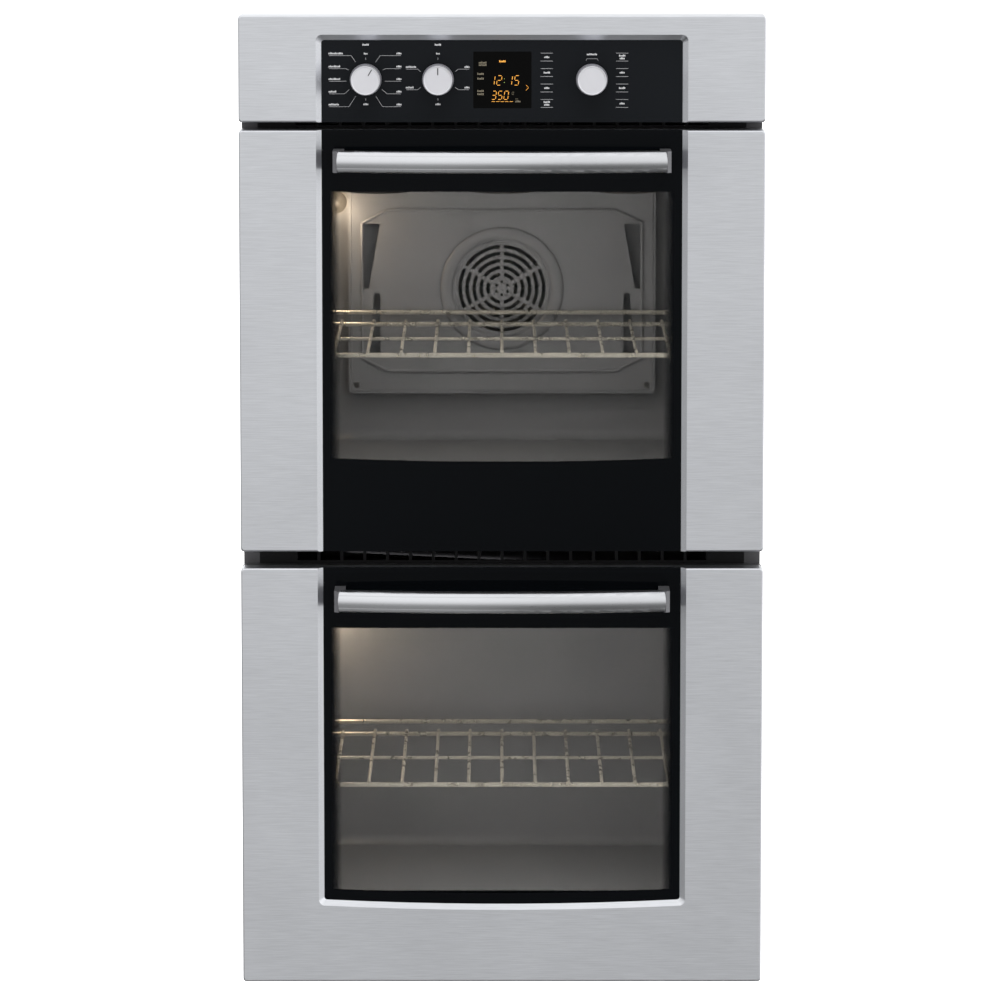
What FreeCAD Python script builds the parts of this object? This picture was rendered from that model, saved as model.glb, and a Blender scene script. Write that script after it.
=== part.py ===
import FreeCAD, Part
import math
import os
from FreeCAD import Vector

# A 27-inch-class double wall oven in millimetres. +Z is up, +X is to the right of someone facing
# the oven, and the front faces -Y. The origin is under the middle of the object, on its base.

# ---- Overall sizes --------------------------------------------------------------------------
face_w = 680.0             # width of the doors and the control fascia
door_h = 549.0             # height of each door
fascia_h = 138.0           # height of the control fascia
door_lift = 3.0            # lower door's edge above the base
gap_doors = 21.5           # gap between the two doors
gap_fascia = 10.0          # gap between the upper door and the fascia
chassis_w = 634.8          # width of the body that slides into the cabinet
chassis_d = 570.0          # depth of the body behind the front frame's face
top_overlap = 56.0         # how far the fascia stands above the body's top
sheet = 1.5                # folded sheet steel

# ---- Doors ----------------------------------------------------------------------------------
door_t = 46.0              # thickness of a door
door_gap = 9.0             # door's inner face to the front frame
skin_d = 28.0              # depth of the folded outer skin
skin_t = 2.0               # thickness of the skin, with its enamel or brushed finish
face_corner_r = 4.5        # corner radius of the faces
face_edge_r = 2.5          # rounding of a face's outer edge
glass_half_w = 233.0       # half the width of the black glass that shows
bevel_w = 7.0              # plan width of the bevel beside the glass
glass_recess = 5.5         # glass behind the face
glass_corner_r = 4.0       # corner radius of the black glass that shows
bevel_corner_r = 8.0       # corner radius of the bevel's outer edge
glass_t = 4.0              # thickness of every pane
glass_lap = 5.0            # how far a pane reaches behind what holds it
band_h = 103.0             # height of the lower door's steel band at its middle
band_sag = 6.0             # rise of the band from its middle to its ends
window_w = 444.0           # clear window in a door
window_margin = 193.0      # how much lower a window is than its door
window_h = door_h - window_margin
window_drop = 80.0         # door's top edge to the window
carrier_wall = 10.0        # wall of the frame that holds the inner panes
mid_pane_y = 21.0          # middle pane behind the face
hinge_back = 32.0          # hinge axis behind the face
hinge_up = 16.0            # hinge axis above the door's lower edge

# ---- Hinges ---------------------------------------------------------------------------------
hinge_pin_r = 4.0
hinge_running_fit = 0.05   # radial clearance round a hinge pin
hinge_x = 297.0            # inner side of the receiver's tongue
tongue_t = 6.0
arm_t = 4.0
hinge_side_gap = 0.5       # arm to tongue
hinge_boss_r = 9.0         # rounded end of the tongue and of the arm
receiver_len = 46.0        # tongue behind the front frame
arm_h = 120.0              # hinge arm above its axis
slot_gap = 1.5             # room round a part in its slot

# ---- Handles --------------------------------------------------------------------------------
handle_len = 435.0         # overall length
handle_h = 27.5            # height of the bar
handle_bar_t = 16.0        # thickness of the bar, front to back
handle_stand = 45.0        # bar's front in front of the face at its ends
handle_bow = 17.0          # how much further forward the bar is at its middle
handle_mitre = 5.0         # plan width of the mitred corner
handle_drop = 38.0         # handle's centre line below the door's top
handle_edge_r = 6.0        # rounding of the bar's front edges
post_w = 14.0              # width of a handle post
stud_r = 3.5               # stud that holds a post through the glass
stud_len = 12.0            # stud behind the front of the glass

# ---- Ovens ----------------------------------------------------------------------------------
cavity_w = 530.0           # inside width
cavity_margin = 149.0      # how much lower the inside is than the door
cavity_h = door_h - cavity_margin
cavity_d = 478.0           # front frame's face to the back wall
cavity_t = 2.0             # enamelled wall
cavity_r = 20.0            # radius of the long corners
cavity_back_r = 15.0       # radius where the back wall meets the others
floor_rise = 82.0          # oven floor above the door's lower edge
insulation_t = 36.0        # blanket's thickness over, under and behind
insulation_side = 44.0     # blanket's thickness at the sides
bake_room = 14.0           # room for the element under the oven floor
gasket_w = 14.0
gasket_off = 8.0           # gasket outside the oven's opening
gasket_squeeze_gap = 0.5   # gasket to the closed door

# ---- Racks and guides -----------------------------------------------------------------------
rack_rise = 167.0          # rack's rails above the oven floor
rack_side_room = 12.5      # oven's wall to the rack's side rail
rack_w = cavity_w - 2 * rack_side_room
rack_front = 77.0          # rack's front rail behind the face
rack_len = 406.0           # front rail to back rail
rail_r = 3.0
wire_r = 2.2
wire_count = 11
wire_side = 33.0           # rack's side to its first wire
wire_pitch = (rack_w - 2 * wire_side) / (wire_count - 1)
weld_bite = 0.6            # how deep a welded wire sits in a rail
rack_stop_h = 15.0         # rear stop above the rack
guide_levels = 6
guide_pitch = 58.0         # height from one rack level to the next
guide_r = 2.5
rack_gap = 0.4             # rack's rail above its guide
guide_front = 92.0         # guide's front post behind the face
guide_len = 400.0
guide_wall_gap = 1.0       # guide post to the oven's wall

# ---- Convection parts -----------------------------------------------------------------------
baffle_side = 53.5         # oven's wall to the baffle
baffle_w = cavity_w - 2 * baffle_side
baffle_corner_r = 6.0
baffle_screw_in = 12.0     # screw in from the baffle's edges
baffle_hole_r = 1.7
baffle_screw_r = 4.0
baffle_screw_h = 2.5
baffle_low = 68.0          # baffle's lower edge above the oven floor
baffle_high = 366.0
baffle_stand = 33.0        # baffle's face in front of the back wall
octagon_side = 19.0        # baffle's edge to the octagon
octagon_w = baffle_w - 2 * octagon_side
octagon_low = 99.5         # octagon's lower edge above the oven floor
octagon_high = 321.5
octagon_cut_x = 35.0
octagon_cut_z = 18.0
emboss_t = 2.5             # how far the octagon stands proud
vent_out = 1.9             # octagon's side to the vents' outer edge
vent_in = 25.1             # octagon's side to the vents' inner edge
vent_slim = 7.0            # width of an upper vent at its lower end
vent_top = (213.0, 303.0)  # heights of the upper vents above the oven floor
vent_low = (124.0, 207.0)  # heights of the lower vents above the oven floor
vent_drift = 6.6           # lower vents' outer edge, in from the upper vents' at the foot
vent_neck = 14.9           # and at the head
fan_rise = 213.5           # fan's axis above the oven floor
dish_r = 88.0
grille_pitch = 9.6         # from one ring of the grille to the next
grille_slot = 5.0          # width of a grille slot
grille_rings = 5
spoke_w = 5.0
fan_r = 70.0
fan_depth = 20.0
fan_blades = 10
shaft_r = 4.0
shaft_running_fit = 0.05
element_r = 3.5
ring_element_r = 88.0
motor_r = 32.0
motor_len = 38.0

# ---- Lamps, probes, elements ----------------------------------------------------------------
lamp_in = 35.0             # oven's wall to the lamp's axis
lamp_x = cavity_w / 2 - lamp_in
lamp_rise = 330.0
lamp_r = 16.0
lamp_flange = 3.0
probe_in = 33.0            # oven's wall to the probe's axis
probe_x = cavity_w / 2 - probe_in
probe_rise = 340.0
probe_r = 3.0
probe_len = 60.0
broil_drop = 22.0          # broil element's axis below the oven's ceiling
element_side = 60.0        # oven's wall to an element's outer run
element_half_w = cavity_w / 2 - element_side
element_runs = 6
element_front = 70.0       # element's front bend behind the front frame
element_back = 60.0        # element's back bend in front of the back wall

# ---- Controls -------------------------------------------------------------------------------
control_glass_h = 106.0    # height of the black control glass
knob_x = (-175.7, -82.6, 115.8)
knob_rise = 55.0           # knobs' centre above the fascia's lower edge
knob_r = 18.7
knob_base_r = 20.4
knob_d = 25.0
knob_gap = 1.0             # knob to glass
knob_shaft_r = 3.0
knob_running_fit = 0.05
knob_glass_gap = 1.0       # shaft to the hole in the glass
display_x0 = -37.0
display_x1 = 38.0
display_low = 18.0         # display's lower edge above the fascia's lower edge
display_high = 91.0
display_t = 12.0
board_t = 1.6
board_w = 420.0
board_low = 14.0           # board's lower edge above the fascia's lower edge
board_high = 68.0
encoder_size = 16.0
wiring_hole_half_w = 200.0

# ---- Cooling blower, terminal box -----------------------------------------------------------
blower_y = 170.0
blower_r = 62.0
blower_wheel_h = 40.0
blower_wall = 2.0
blower_clear = 6.0         # wheel to housing
duct_w = 300.0
louvre_d = 10.0            # depth of the vent louvres
duct_h = 17.0
duct_rise = 18.0           # duct above the deck, over the latch
blower_blades = 18
neck_front = 140.0         # front of the blower's square neck behind the front frame
blower_motor_r = 36.0
blower_motor_h = 34.0
terminal_x = -210.0
terminal_y = 250.0
terminal_w = 110.0
terminal_h = 60.0
gland_r = 11.0             # clear bore of the conduit gland
gland_wall = 4.0
gland_h = 14.0             # gland above the top cover
gland_nut_r = 21.0

# ---- Latches --------------------------------------------------------------------------------
latch_rise = 52.0          # latch hook above the oven's ceiling
hook_pivot_back = 15.0     # hook's pivot behind the front frame's face
hook_len = 35.0
hook_w = 9.0
hook_t = 4.0
latch_pin_r = 3.0
latch_running_fit = 0.05
latch_body = 34.0
latch_slot_gap = 3.0       # room round the hook in its slots

# ---- Trim flanges ---------------------------------------------------------------------------
trim_t = 1.2
trim_leg = 20.0
trim_reach = 2.0           # face's edge beyond the trim flange
trim_hole_r = 2.6
trim_hole_in = 11.0        # hole in from the flange's outer edge
trim_hole_z = (180.0, 1080.0)

# ---- Places worked out from the sizes above -------------------------------------------------
handle_reach = handle_stand + handle_bow
total_d = handle_reach + door_t + door_gap + chassis_d
y_face = handle_reach - total_d / 2
y_door_in = y_face + door_t
y_frame = y_door_in + door_gap
y_glass = y_face + glass_recess
y_inside = y_frame + sheet
y_back = y_frame + chassis_d
y_cavity_back = y_frame + cavity_d
y_hinge = y_face + hinge_back
z_lower = door_lift
z_upper = z_lower + door_h + gap_doors
z_fascia = z_upper + door_h + gap_fascia
z_top = z_fascia + fascia_h
chassis_h = z_top - top_overlap
half_face = face_w / 2
half_body = chassis_w / 2
half_inside = half_body - sheet
half_cavity = cavity_w / 2
ovens = (("lower", z_lower), ("upper", z_upper))


# ---- Shape helpers --------------------------------------------------------------------------
def box(x0, x1, y0, y1, z0, z1):
    return Part.makeBox(x1 - x0, y1 - y0, z1 - z0, Vector(x0, y0, z0))


def cyl(radius, length, x, y, z, axis):
    directions = {"x": Vector(1, 0, 0), "y": Vector(0, 1, 0), "z": Vector(0, 0, 1)}
    return Part.makeCylinder(radius, length, Vector(x, y, z), directions[axis])


def fused(shapes):
    shapes = list(shapes)
    whole = shapes[0].fuse(shapes[1:]) if len(shapes) > 1 else shapes[0]
    return whole.removeSplitter()


def prism(points, direction):
    """A closed outline of points, pulled along a direction."""
    wire = Part.makePolygon([Vector(*p) for p in points + points[:1]])
    return Part.Face(wire).extrude(Vector(*direction))


def rounded_slab(x0, x1, z0, z1, radius, y0, y1):
    """A block whose four corners, seen from the front, are round."""
    slab = box(x0, x1, y0, y1, z0, z1)
    corners = [e for e in slab.Edges if abs(e.Vertexes[0].Y - e.Vertexes[1].Y) > 1e-6]
    return slab.makeFillet(radius, corners)


def mirrored(shape):
    """The same part on the other side of the oven."""
    return shape.mirror(Vector(0, 0, 0), Vector(1, 0, 0))


def both_sides(shape):
    return [shape, mirrored(shape)]


def round_rod(points, bend, radius):
    """A rod along a run of points, with each corner bent to one radius."""
    points = [Vector(*p) for p in points]
    edges = []
    start = points[0]
    for before, corner, after in zip(points, points[1:], points[2:]):
        to_before = (before - corner).normalize()
        to_after = (after - corner).normalize()
        half = to_before.getAngle(to_after) / 2
        reach = bend / math.tan(half)
        middle = (to_before + to_after).normalize() * (bend / math.sin(half) - bend)
        first = corner + to_before * reach
        last = corner + to_after * reach
        if (first - start).Length > 1e-6:
            edges.append(Part.LineSegment(start, first).toShape())
        edges.append(Part.Arc(first, corner + middle, last).toShape())
        start = last
    edges.append(Part.LineSegment(start, points[-1]).toShape())
    path = Part.Wire(edges)
    ring = Part.Wire(Part.makeCircle(radius, points[0], points[1] - points[0]))
    return path.makePipeShell([ring], True, True)


def save(node, shapes):
    """Write one node, as one solid or as a group of separate solids."""
    shapes = shapes if isinstance(shapes, list) else [shapes]
    solids = [s for shape in shapes for s in shape.Solids]
    whole = solids[0] if len(solids) == 1 else Part.makeCompound(solids)
    whole.exportStep("parts/" + node + ".step")
    volume = sum(s.Volume for s in solids)
    print(f"{node}: {len(solids)} solid(s), {volume / 1000:.1f} cm3, valid {whole.isValid()}")


# ---- Faces: fascia and door skins -----------------------------------------------------------
def low_corner(half_w, z0, sag, radius, y):
    """Centre and end points of the arc that rounds an opening's lower right corner. The lower
    edge is straight, or part of a large circle that sags by sag at the middle."""
    x_centre = half_w - radius
    if sag > 0:
        sweep_r = (half_w ** 2 + sag ** 2) / (2 * sag)
        hub = Vector(0, y, z0 + sweep_r)
        drop = math.sqrt((sweep_r - radius) ** 2 - x_centre ** 2)
        centre = Vector(x_centre, y, hub.z - drop)
        foot = hub + (centre - hub) * (sweep_r / (sweep_r - radius))
    else:
        centre = Vector(x_centre, y, z0 + radius)
        foot = Vector(x_centre, y, z0)
    return centre, foot, Vector(half_w, y, centre.z)


def corner_arc(centre, start, end):
    """The quarter turn, or nearly that, between two points round a centre."""
    spread = (start - centre) + (end - centre)
    middle = centre + spread.normalize() * (start - centre).Length
    return Part.Arc(start, middle, end).toShape()


def opening_wire(half_w, z0, z1, sag, radius, y):
    """Outline of the glass opening in a face; its lower edge sags by sag."""
    centre, foot, side_low = low_corner(half_w, z0, sag, radius, y)
    side_high = Vector(half_w, y, z1 - radius)
    head = Vector(half_w - radius, y, z1)
    top_centre = Vector(half_w - radius, y, z1 - radius)

    def opposite(point):
        return Vector(-point.x, point.y, point.z)

    if sag > 0:
        sill = Part.Arc(opposite(foot), Vector(0, y, z0), foot).toShape()
    else:
        sill = Part.LineSegment(opposite(foot), foot).toShape()
    return Part.Wire([
        sill,
        corner_arc(centre, foot, side_low),
        Part.LineSegment(side_low, side_high).toShape(),
        corner_arc(top_centre, side_high, head),
        Part.LineSegment(head, opposite(head)).toShape(),
        corner_arc(opposite(top_centre), opposite(head), opposite(side_high)),
        Part.LineSegment(opposite(side_high), opposite(side_low)).toShape(),
        corner_arc(opposite(centre), opposite(side_low), opposite(foot)),
    ])


def bevelled_opening(z0, z1, sag, grow):
    """The tapering block that a bevelled glass opening takes out of a face."""
    outer = opening_wire(glass_half_w + bevel_w + grow, z0 - bevel_w - grow,
                         z1 + bevel_w + grow, sag, bevel_corner_r + grow, y_face)
    inner = opening_wire(glass_half_w + grow, z0 - grow, z1 + grow, sag, glass_corner_r + grow,
                         y_face + glass_recess)
    taper = Part.makeLoft([outer, inner], True, True)
    mouth = Part.Face(outer).extrude(Vector(0, -1, 0))
    return taper.fuse(mouth)


def face_pan(z0, z1, glass_z0, glass_z1, sag):
    """A folded face with a bevelled opening. Where the glass runs off the top or the bottom
    edge, the opening is open at that edge."""
    over = 4 * bevel_w
    open_low = glass_z0 <= z0
    open_high = glass_z1 >= z1
    cut_z0 = z0 - over if open_low else glass_z0
    cut_z1 = z1 + over if open_high else glass_z1
    body = rounded_slab(-half_face, half_face, z0, z1, face_corner_r, y_face, y_face + skin_d)
    rim = [e for e in body.Edges if e.BoundBox.YMax < y_face + 1e-6]
    body = body.makeFillet(face_edge_r, rim)
    pocket = rounded_slab(-half_face + skin_t, half_face - skin_t, z0 + skin_t, z1 - skin_t,
                          face_corner_r - skin_t, y_face + skin_t, y_face + skin_d + 1)
    pan = body.cut(pocket)
    lip_depth = box(-half_face + skin_t, half_face - skin_t, y_face + skin_t,
                    y_face + glass_recess, z0 + skin_t / 2, z1 - skin_t / 2)
    lip = bevelled_opening(cut_z0, cut_z1, sag, skin_t).common(lip_depth)
    pan = pan.fuse(lip).cut(bevelled_opening(cut_z0, cut_z1, sag, 0))
    glass_room = box(-glass_half_w - glass_lap, glass_half_w + glass_lap,
                     y_face + glass_recess, y_face + glass_recess + glass_t,
                     z0 - 1 if open_low else cut_z0 - glass_lap,
                     z1 + 1 if open_high else cut_z1 + glass_lap)
    return pan.cut(glass_room)


def glass_pane(z0, z1):
    return box(-glass_half_w - glass_lap, glass_half_w + glass_lap,
               y_face + glass_recess, y_face + glass_recess + glass_t, z0, z1)


# ---- Doors ----------------------------------------------------------------------------------
def glass_low(z0):
    """Lowest point of the glass that shows on the door whose lower edge is z0."""
    return z0 + band_h if z0 == z_lower else z0


def hinge_notch(z0):
    """Room at a door's lower inner corner for the hinge tongue, from closed to fully open."""
    x0 = hinge_x - hinge_side_gap - arm_t - slot_gap
    x1 = hinge_x + tongue_t + slot_gap
    z1 = z0 + hinge_up + hinge_boss_r + slot_gap
    notch = box(x0, x1, y_hinge - hinge_boss_r - slot_gap, y_door_in + 1, z0 - 1, z1)
    return both_sides(notch)


def door_skin(z0):
    sag = band_sag if glass_low(z0) > z0 else 0
    pan = face_pan(z0, z0 + door_h, glass_low(z0), z0 + door_h, sag)
    return pan.cut(hinge_notch(z0))


def outer_glass(z0):
    low = glass_low(z0)
    z_low = low - glass_lap if low > z0 else z0
    return glass_pane(z_low, z0 + door_h).cut(both_sides(post_stud(z0)))


def window_box(z0, grow, y0, y1):
    """The door's window, grown on all four sides."""
    top = z0 + door_h - window_drop
    return rounded_slab(-window_w / 2 - grow, window_w / 2 + grow, top - window_h - grow,
                        top + grow, 8.0, y0, y1)


def pane_carrier(z0):
    y0 = y_face + glass_recess + glass_t
    y1 = y_door_in - sheet - glass_t
    ring = window_box(z0, glass_lap + carrier_wall, y0, y1).cut(window_box(z0, glass_lap, y0, y1))
    return ring.cut(middle_pane(z0))


def middle_pane(z0):
    y0 = y_face + mid_pane_y
    return window_box(z0, 2 * glass_lap, y0, y0 + glass_t)


def inner_pane(z0):
    y1 = y_door_in - sheet
    return window_box(z0, glass_lap + carrier_wall, y1 - glass_t, y1)


def door_liner(z0):
    """Enamelled inner pan of a door, which meets the skin edge to edge."""
    z1 = z0 + door_h
    body = rounded_slab(-half_face, half_face, z0, z1, face_corner_r, y_face + skin_d, y_door_in)
    rim = [e for e in body.Edges if e.BoundBox.YMin > y_door_in - 1e-6]
    body = body.makeFillet(face_edge_r, rim)
    pocket = rounded_slab(-half_face + skin_t, half_face - skin_t, z0 + skin_t, z1 - skin_t,
                          face_corner_r - skin_t, y_face + skin_d - 1, y_door_in - sheet)
    window = window_box(z0, 0, y_door_in - sheet - 1, y_door_in + 1)
    slot_z = oven_floor(z0) + cavity_h + latch_rise
    latch_slot = box(-hook_w / 2 - latch_slot_gap, hook_len + latch_slot_gap,
                     y_door_in - sheet - 1, y_door_in + 1,
                     slot_z - hook_t / 2 - latch_slot_gap, slot_z + hook_t / 2 + latch_slot_gap)
    return body.cut([pocket, window, latch_slot] + hinge_notch(z0))


def hinge_arm(z0):
    """The plate in a door's side that turns on the receiver's pin."""
    x1 = hinge_x - hinge_side_gap
    x0 = x1 - arm_t
    z_axis = z0 + hinge_up
    boss = cyl(hinge_boss_r, arm_t, x0, y_hinge, z_axis, "x")
    plate = box(x0, x1, y_hinge - hinge_boss_r, y_hinge + hinge_boss_r, z_axis, z_axis + arm_h)
    foot = box(x0 - 20, x1, y_door_in - sheet - 2, y_door_in - sheet,
               z_axis + hinge_boss_r + 2 * slot_gap, z_axis + arm_h)
    web = box(x0, x1, y_hinge, y_door_in - sheet, z_axis + hinge_boss_r + 2 * slot_gap, z_axis + arm_h)
    bore = cyl(hinge_pin_r + hinge_running_fit, arm_t + 2, x0 - 1, y_hinge, z_axis, "x")
    return fused([boss, plate, web, foot]).cut(bore)


def handle_bar(z0):
    """The bowed grip: a rounded section turned about a far upright axis."""
    z = z0 + door_h - handle_drop
    half_len = handle_len / 2 - handle_mitre
    bow_r = (half_len ** 2 + handle_bow ** 2) / (2 * handle_bow)
    y_front = y_face - handle_reach
    section = rounded_profile(y_front, handle_bar_t, z)
    half_angle = math.degrees(math.asin(half_len / bow_r)) + 1
    axis = Vector(0, y_front + bow_r, z)
    section.rotate(axis, Vector(0, 0, 1), -half_angle)
    bar = section.revolve(axis, Vector(0, 0, 1), 2 * half_angle)
    ends = [mitre_block(z, 1), mitre_block(z, -1)]
    return bar.cut(ends)


def rounded_profile(y_front, depth, z):
    """The bar's section: rounded corners, with larger ones in front."""
    z0 = z - handle_h / 2
    z1 = z + handle_h / 2
    r = handle_edge_r
    bulge = 1.5
    front = Part.Arc(Vector(0, y_front + bulge, z0 + r), Vector(0, y_front, z),
                     Vector(0, y_front + bulge, z1 - r)).toShape()
    k = r * (1 - math.sqrt(0.5))
    y1 = y_front + bulge
    top = Part.Arc(Vector(0, y1, z1 - r), Vector(0, y1 + k, z1 - k), Vector(0, y1 + r, z1)).toShape()
    low = Part.Arc(Vector(0, y1 + r, z0), Vector(0, y1 + k, z0 + k), Vector(0, y1, z0 + r)).toShape()
    back = Part.makePolygon([Vector(0, y1 + r, z1), Vector(0, y_front + depth, z1),
                             Vector(0, y_front + depth, z0), Vector(0, y1 + r, z0)])
    return Part.Face(Part.Wire([front, top] + back.Edges + [low]))


def mitre_points():
    """Plan outline of a handle post, mitred to the bar's end."""
    x1 = handle_len / 2
    x_tip = x1 - handle_mitre
    y_tip = y_face - handle_stand
    x_in = x1 - post_w
    y_in = y_tip + handle_bar_t
    return [(x1, y_glass), (x1, y_tip + handle_mitre), (x_tip, y_tip), (x_in, y_in), (x_in, y_glass)]


def mitre_block(z, side):
    """Everything beyond the mitre plane, to be cut from the bar."""
    x1 = handle_len / 2
    x_tip = x1 - handle_mitre
    y_tip = y_face - handle_stand
    slope = (x_tip - (x1 - post_w)) / handle_bar_t
    y0 = y_tip - 10
    y1 = y_tip + handle_bar_t + 10
    points = [(side * (x_tip + 10 * slope), y0, z - handle_h), (side * (x1 + 40), y0, z - handle_h),
              (side * (x1 + 40), y1, z - handle_h),
              (side * (x1 - post_w - 10 * slope), y1, z - handle_h)]
    return prism(points, (0, 0, 2 * handle_h))


def post_stud(z0):
    """The stud that fastens a post, through the glass."""
    return cyl(stud_r, stud_len, handle_len / 2 - post_w / 2, y_glass, z0 + door_h - handle_drop, "y")


def handle_post(z0):
    """One cast post, from the glass to the mitred end of the bar, with its stud."""
    z = z0 + door_h - handle_drop
    outline = [(x, y, z - handle_h / 2) for x, y in mitre_points()]
    return fused([prism(outline, (0, 0, handle_h)), post_stud(z0)])


# ---- Ovens ----------------------------------------------------------------------------------
def oven_floor(z0):
    return z0 + floor_rise


def oven_block(z0, grow):
    """The oven's inside, or its outside when grown by the wall."""
    z = oven_floor(z0)
    block = box(-half_cavity - grow, half_cavity + grow, y_inside - cavity_back_r - 30,
                y_cavity_back + grow, z - grow, z + cavity_h + grow)
    long_edges = [e for e in block.Edges if abs(e.Vertexes[0].Y - e.Vertexes[1].Y) > 1e-6]
    block = block.makeFillet(cavity_r + grow, long_edges)
    back = [e for e in block.Edges if e.BoundBox.YMin > y_cavity_back + grow - 1e-6]
    block = block.makeFillet(cavity_back_r + grow, back)
    front = box(-half_cavity - 50, half_cavity + 50, y_inside - cavity_back_r - 40, y_inside,
                z - 50, z + cavity_h + 50)
    return block.cut(front)


def lamp_z(z0):
    return oven_floor(z0) + lamp_rise


def probe_z(z0):
    return oven_floor(z0) + probe_rise


def back_holes(z0, depth, grow, lamp_hole_r):
    """Holes in the back wall, or in the blanket behind it, for what passes through."""
    holes = [cyl(lamp_hole_r, depth, -lamp_x, y_cavity_back - 1, lamp_z(z0), "y"),
             cyl(probe_r + grow, depth, probe_x, y_cavity_back - 1, probe_z(z0), "y")]
    z_broil = oven_floor(z0) + cavity_h - broil_drop
    for x in element_ends():
        holes.append(cyl(element_r + grow, depth, x, y_cavity_back - 1, z_broil, "y"))
    return holes


def fan_z():
    return oven_floor(z_upper) + fan_rise


def fan_holes(depth, grow, centre_r):
    holes = [cyl(centre_r, depth, 0, y_cavity_back - 1, fan_z(), "y")]
    for x in (-20, 20):
        z = fan_z() - math.sqrt(ring_element_r ** 2 - x ** 2)
        holes.append(cyl(element_r + grow, depth, x, y_cavity_back - 1, z, "y"))
    return holes


def oven_cavity(z0):
    shell = oven_block(z0, cavity_t).cut(oven_block(z0, 0))
    holes = back_holes(z0, cavity_t + 2, 0, lamp_r)
    if z0 == z_upper:
        holes += fan_holes(cavity_t + 2, 0, shaft_r + 1.5)
    return shell.cut(holes)


def blanket_low(z0):
    return oven_floor(z0) - cavity_t - bake_room - insulation_t


def blanket_high(z0):
    return oven_floor(z0) + cavity_h + cavity_t + insulation_t


def insulation_blanket(z0):
    side = half_cavity + cavity_t + insulation_side
    back = y_cavity_back + cavity_t + insulation_t
    block = box(-side, side, y_inside, back, blanket_low(z0), blanket_high(z0))
    z = oven_floor(z0) - cavity_t
    half = element_half_w + 30
    room = box(-half, half, y_inside + 20, y_cavity_back - 10, z - bake_room, z + 1)
    holes = back_holes(z0, insulation_t + cavity_t + 4, 1.0, lamp_r + 4)
    for x in element_ends():
        holes.append(cyl(element_r, insulation_t + 40, x, y_cavity_back - 20, z - bake_room / 2, "y"))
    if z0 == z_upper:
        holes += fan_holes(insulation_t + cavity_t + 4, 1.0, 20.0)
    slots = [hinge_clearance(z0, side_sign) for side_sign in (-1, 1)]
    return block.cut([oven_block(z0, cavity_t), room] + holes + slots)


def hinge_clearance(z0, side_sign):
    """Room for a hinge receiver behind the front frame."""
    z = z0 + hinge_up
    x0 = hinge_x - 8
    low, high = sorted((side_sign * x0, side_sign * half_inside))
    return box(low, high, y_frame - 1, y_inside + receiver_len + 2, z - 30, z + 60)


def gasket(z0):
    z = oven_floor(z0)
    y0 = y_door_in + gasket_squeeze_gap
    far = gasket_off + gasket_w
    outer = rounded_slab(-half_cavity - far, half_cavity + far, z - far, z + cavity_h + far,
                         cavity_r + far, y0, y_frame)
    inner = rounded_slab(-half_cavity - gasket_off, half_cavity + gasket_off, z - gasket_off,
                         z + cavity_h + gasket_off, cavity_r + gasket_off, y0 - 1, y_frame + 1)
    ring = outer.cut(inner)
    crest = [e for e in ring.Edges if e.BoundBox.YMax < y0 + 1e-6]
    return ring.makeFillet(gasket_w / 3, crest)


# ---- Elements -------------------------------------------------------------------------------
def element_ends():
    return (-element_half_w, element_half_w)


def serpentine(z, y_out):
    """A flat element: runs from front to back joined by bends, with both ends out at the back."""
    y0 = y_frame + element_front
    y1 = y_cavity_back - element_back
    step = 2 * element_half_w / (element_runs - 1)
    points = [(-element_half_w, y_out, z)]
    for i in range(element_runs):
        x = -element_half_w + i * step
        ends = (y1, y0) if i % 2 == 0 else (y0, y1)
        if i > 0:
            points.append((x, ends[0], z))
        if i < element_runs - 1:
            points.append((x, ends[1], z))
    points.append((element_half_w, y_out, z))
    return round_rod(points, step / 2 - 2, element_r)


def broil_element(z0):
    return serpentine(oven_floor(z0) + cavity_h - broil_drop, y_cavity_back + cavity_t + insulation_t + 12)


def bake_element(z0):
    z = oven_floor(z0) - cavity_t - bake_room / 2
    return serpentine(z, y_cavity_back + cavity_t + insulation_t + 12)


# ---- Racks ----------------------------------------------------------------------------------
def rack_z(z0):
    return oven_floor(z0) + rack_rise


def rack(z0):
    z = rack_z(z0)
    x = rack_w / 2 - rail_r
    y0 = y_face + rack_front
    y1 = y0 + rack_len
    z_wire = z + rail_r + wire_r - weld_bite
    z_stop = z + rack_stop_h
    bend = 14.0
    loop = [(0, y0, z), (x, y0, z), (x, y1, z), (x, y1, z_stop), (0, y1, z_stop)]
    frame = round_rod(loop, 7.0, rail_r)
    pieces = [frame, mirrored(frame)]
    pieces.append(cyl(rail_r, 2 * x, -x, y1 - bend, z, "x"))
    pieces.append(cyl(wire_r, 2 * x, -x, (y0 + y1) / 2, z, "x"))
    for i in range(wire_count):
        x_wire = (i - (wire_count - 1) / 2) * wire_pitch
        pieces.append(cyl(wire_r, rack_len - bend + 4, x_wire, y0 - 2, z_wire, "y"))
        pieces.append(Part.makeSphere(wire_r, Vector(x_wire, y0 - 2, z_wire)))
    return fused(pieces)


def rack_guide(z0):
    """A ladder beside the rack, on the right: two posts, and the rungs welded to them."""
    x_post = half_cavity - guide_wall_gap - guide_r
    x_rung = rack_w / 2 - rail_r
    y0 = y_face + guide_front
    y1 = y0 + guide_len
    first = rack_z(z0) - rail_r - rack_gap - guide_r - 2 * guide_pitch
    top = first + (guide_levels - 1) * guide_pitch
    posts = [cyl(guide_r, top - first + 24, x_post, y, first - 12, "z") for y in (y0, y1)]
    rungs = []
    for i in range(guide_levels):
        z = first + i * guide_pitch
        run = [(x_post, y0, z), (x_rung, y0, z), (x_rung, y1, z), (x_post, y1, z)]
        rungs.append(round_rod(run, 5.0, guide_r).cut(posts))
    return Part.makeCompound(posts + rungs)


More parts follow.
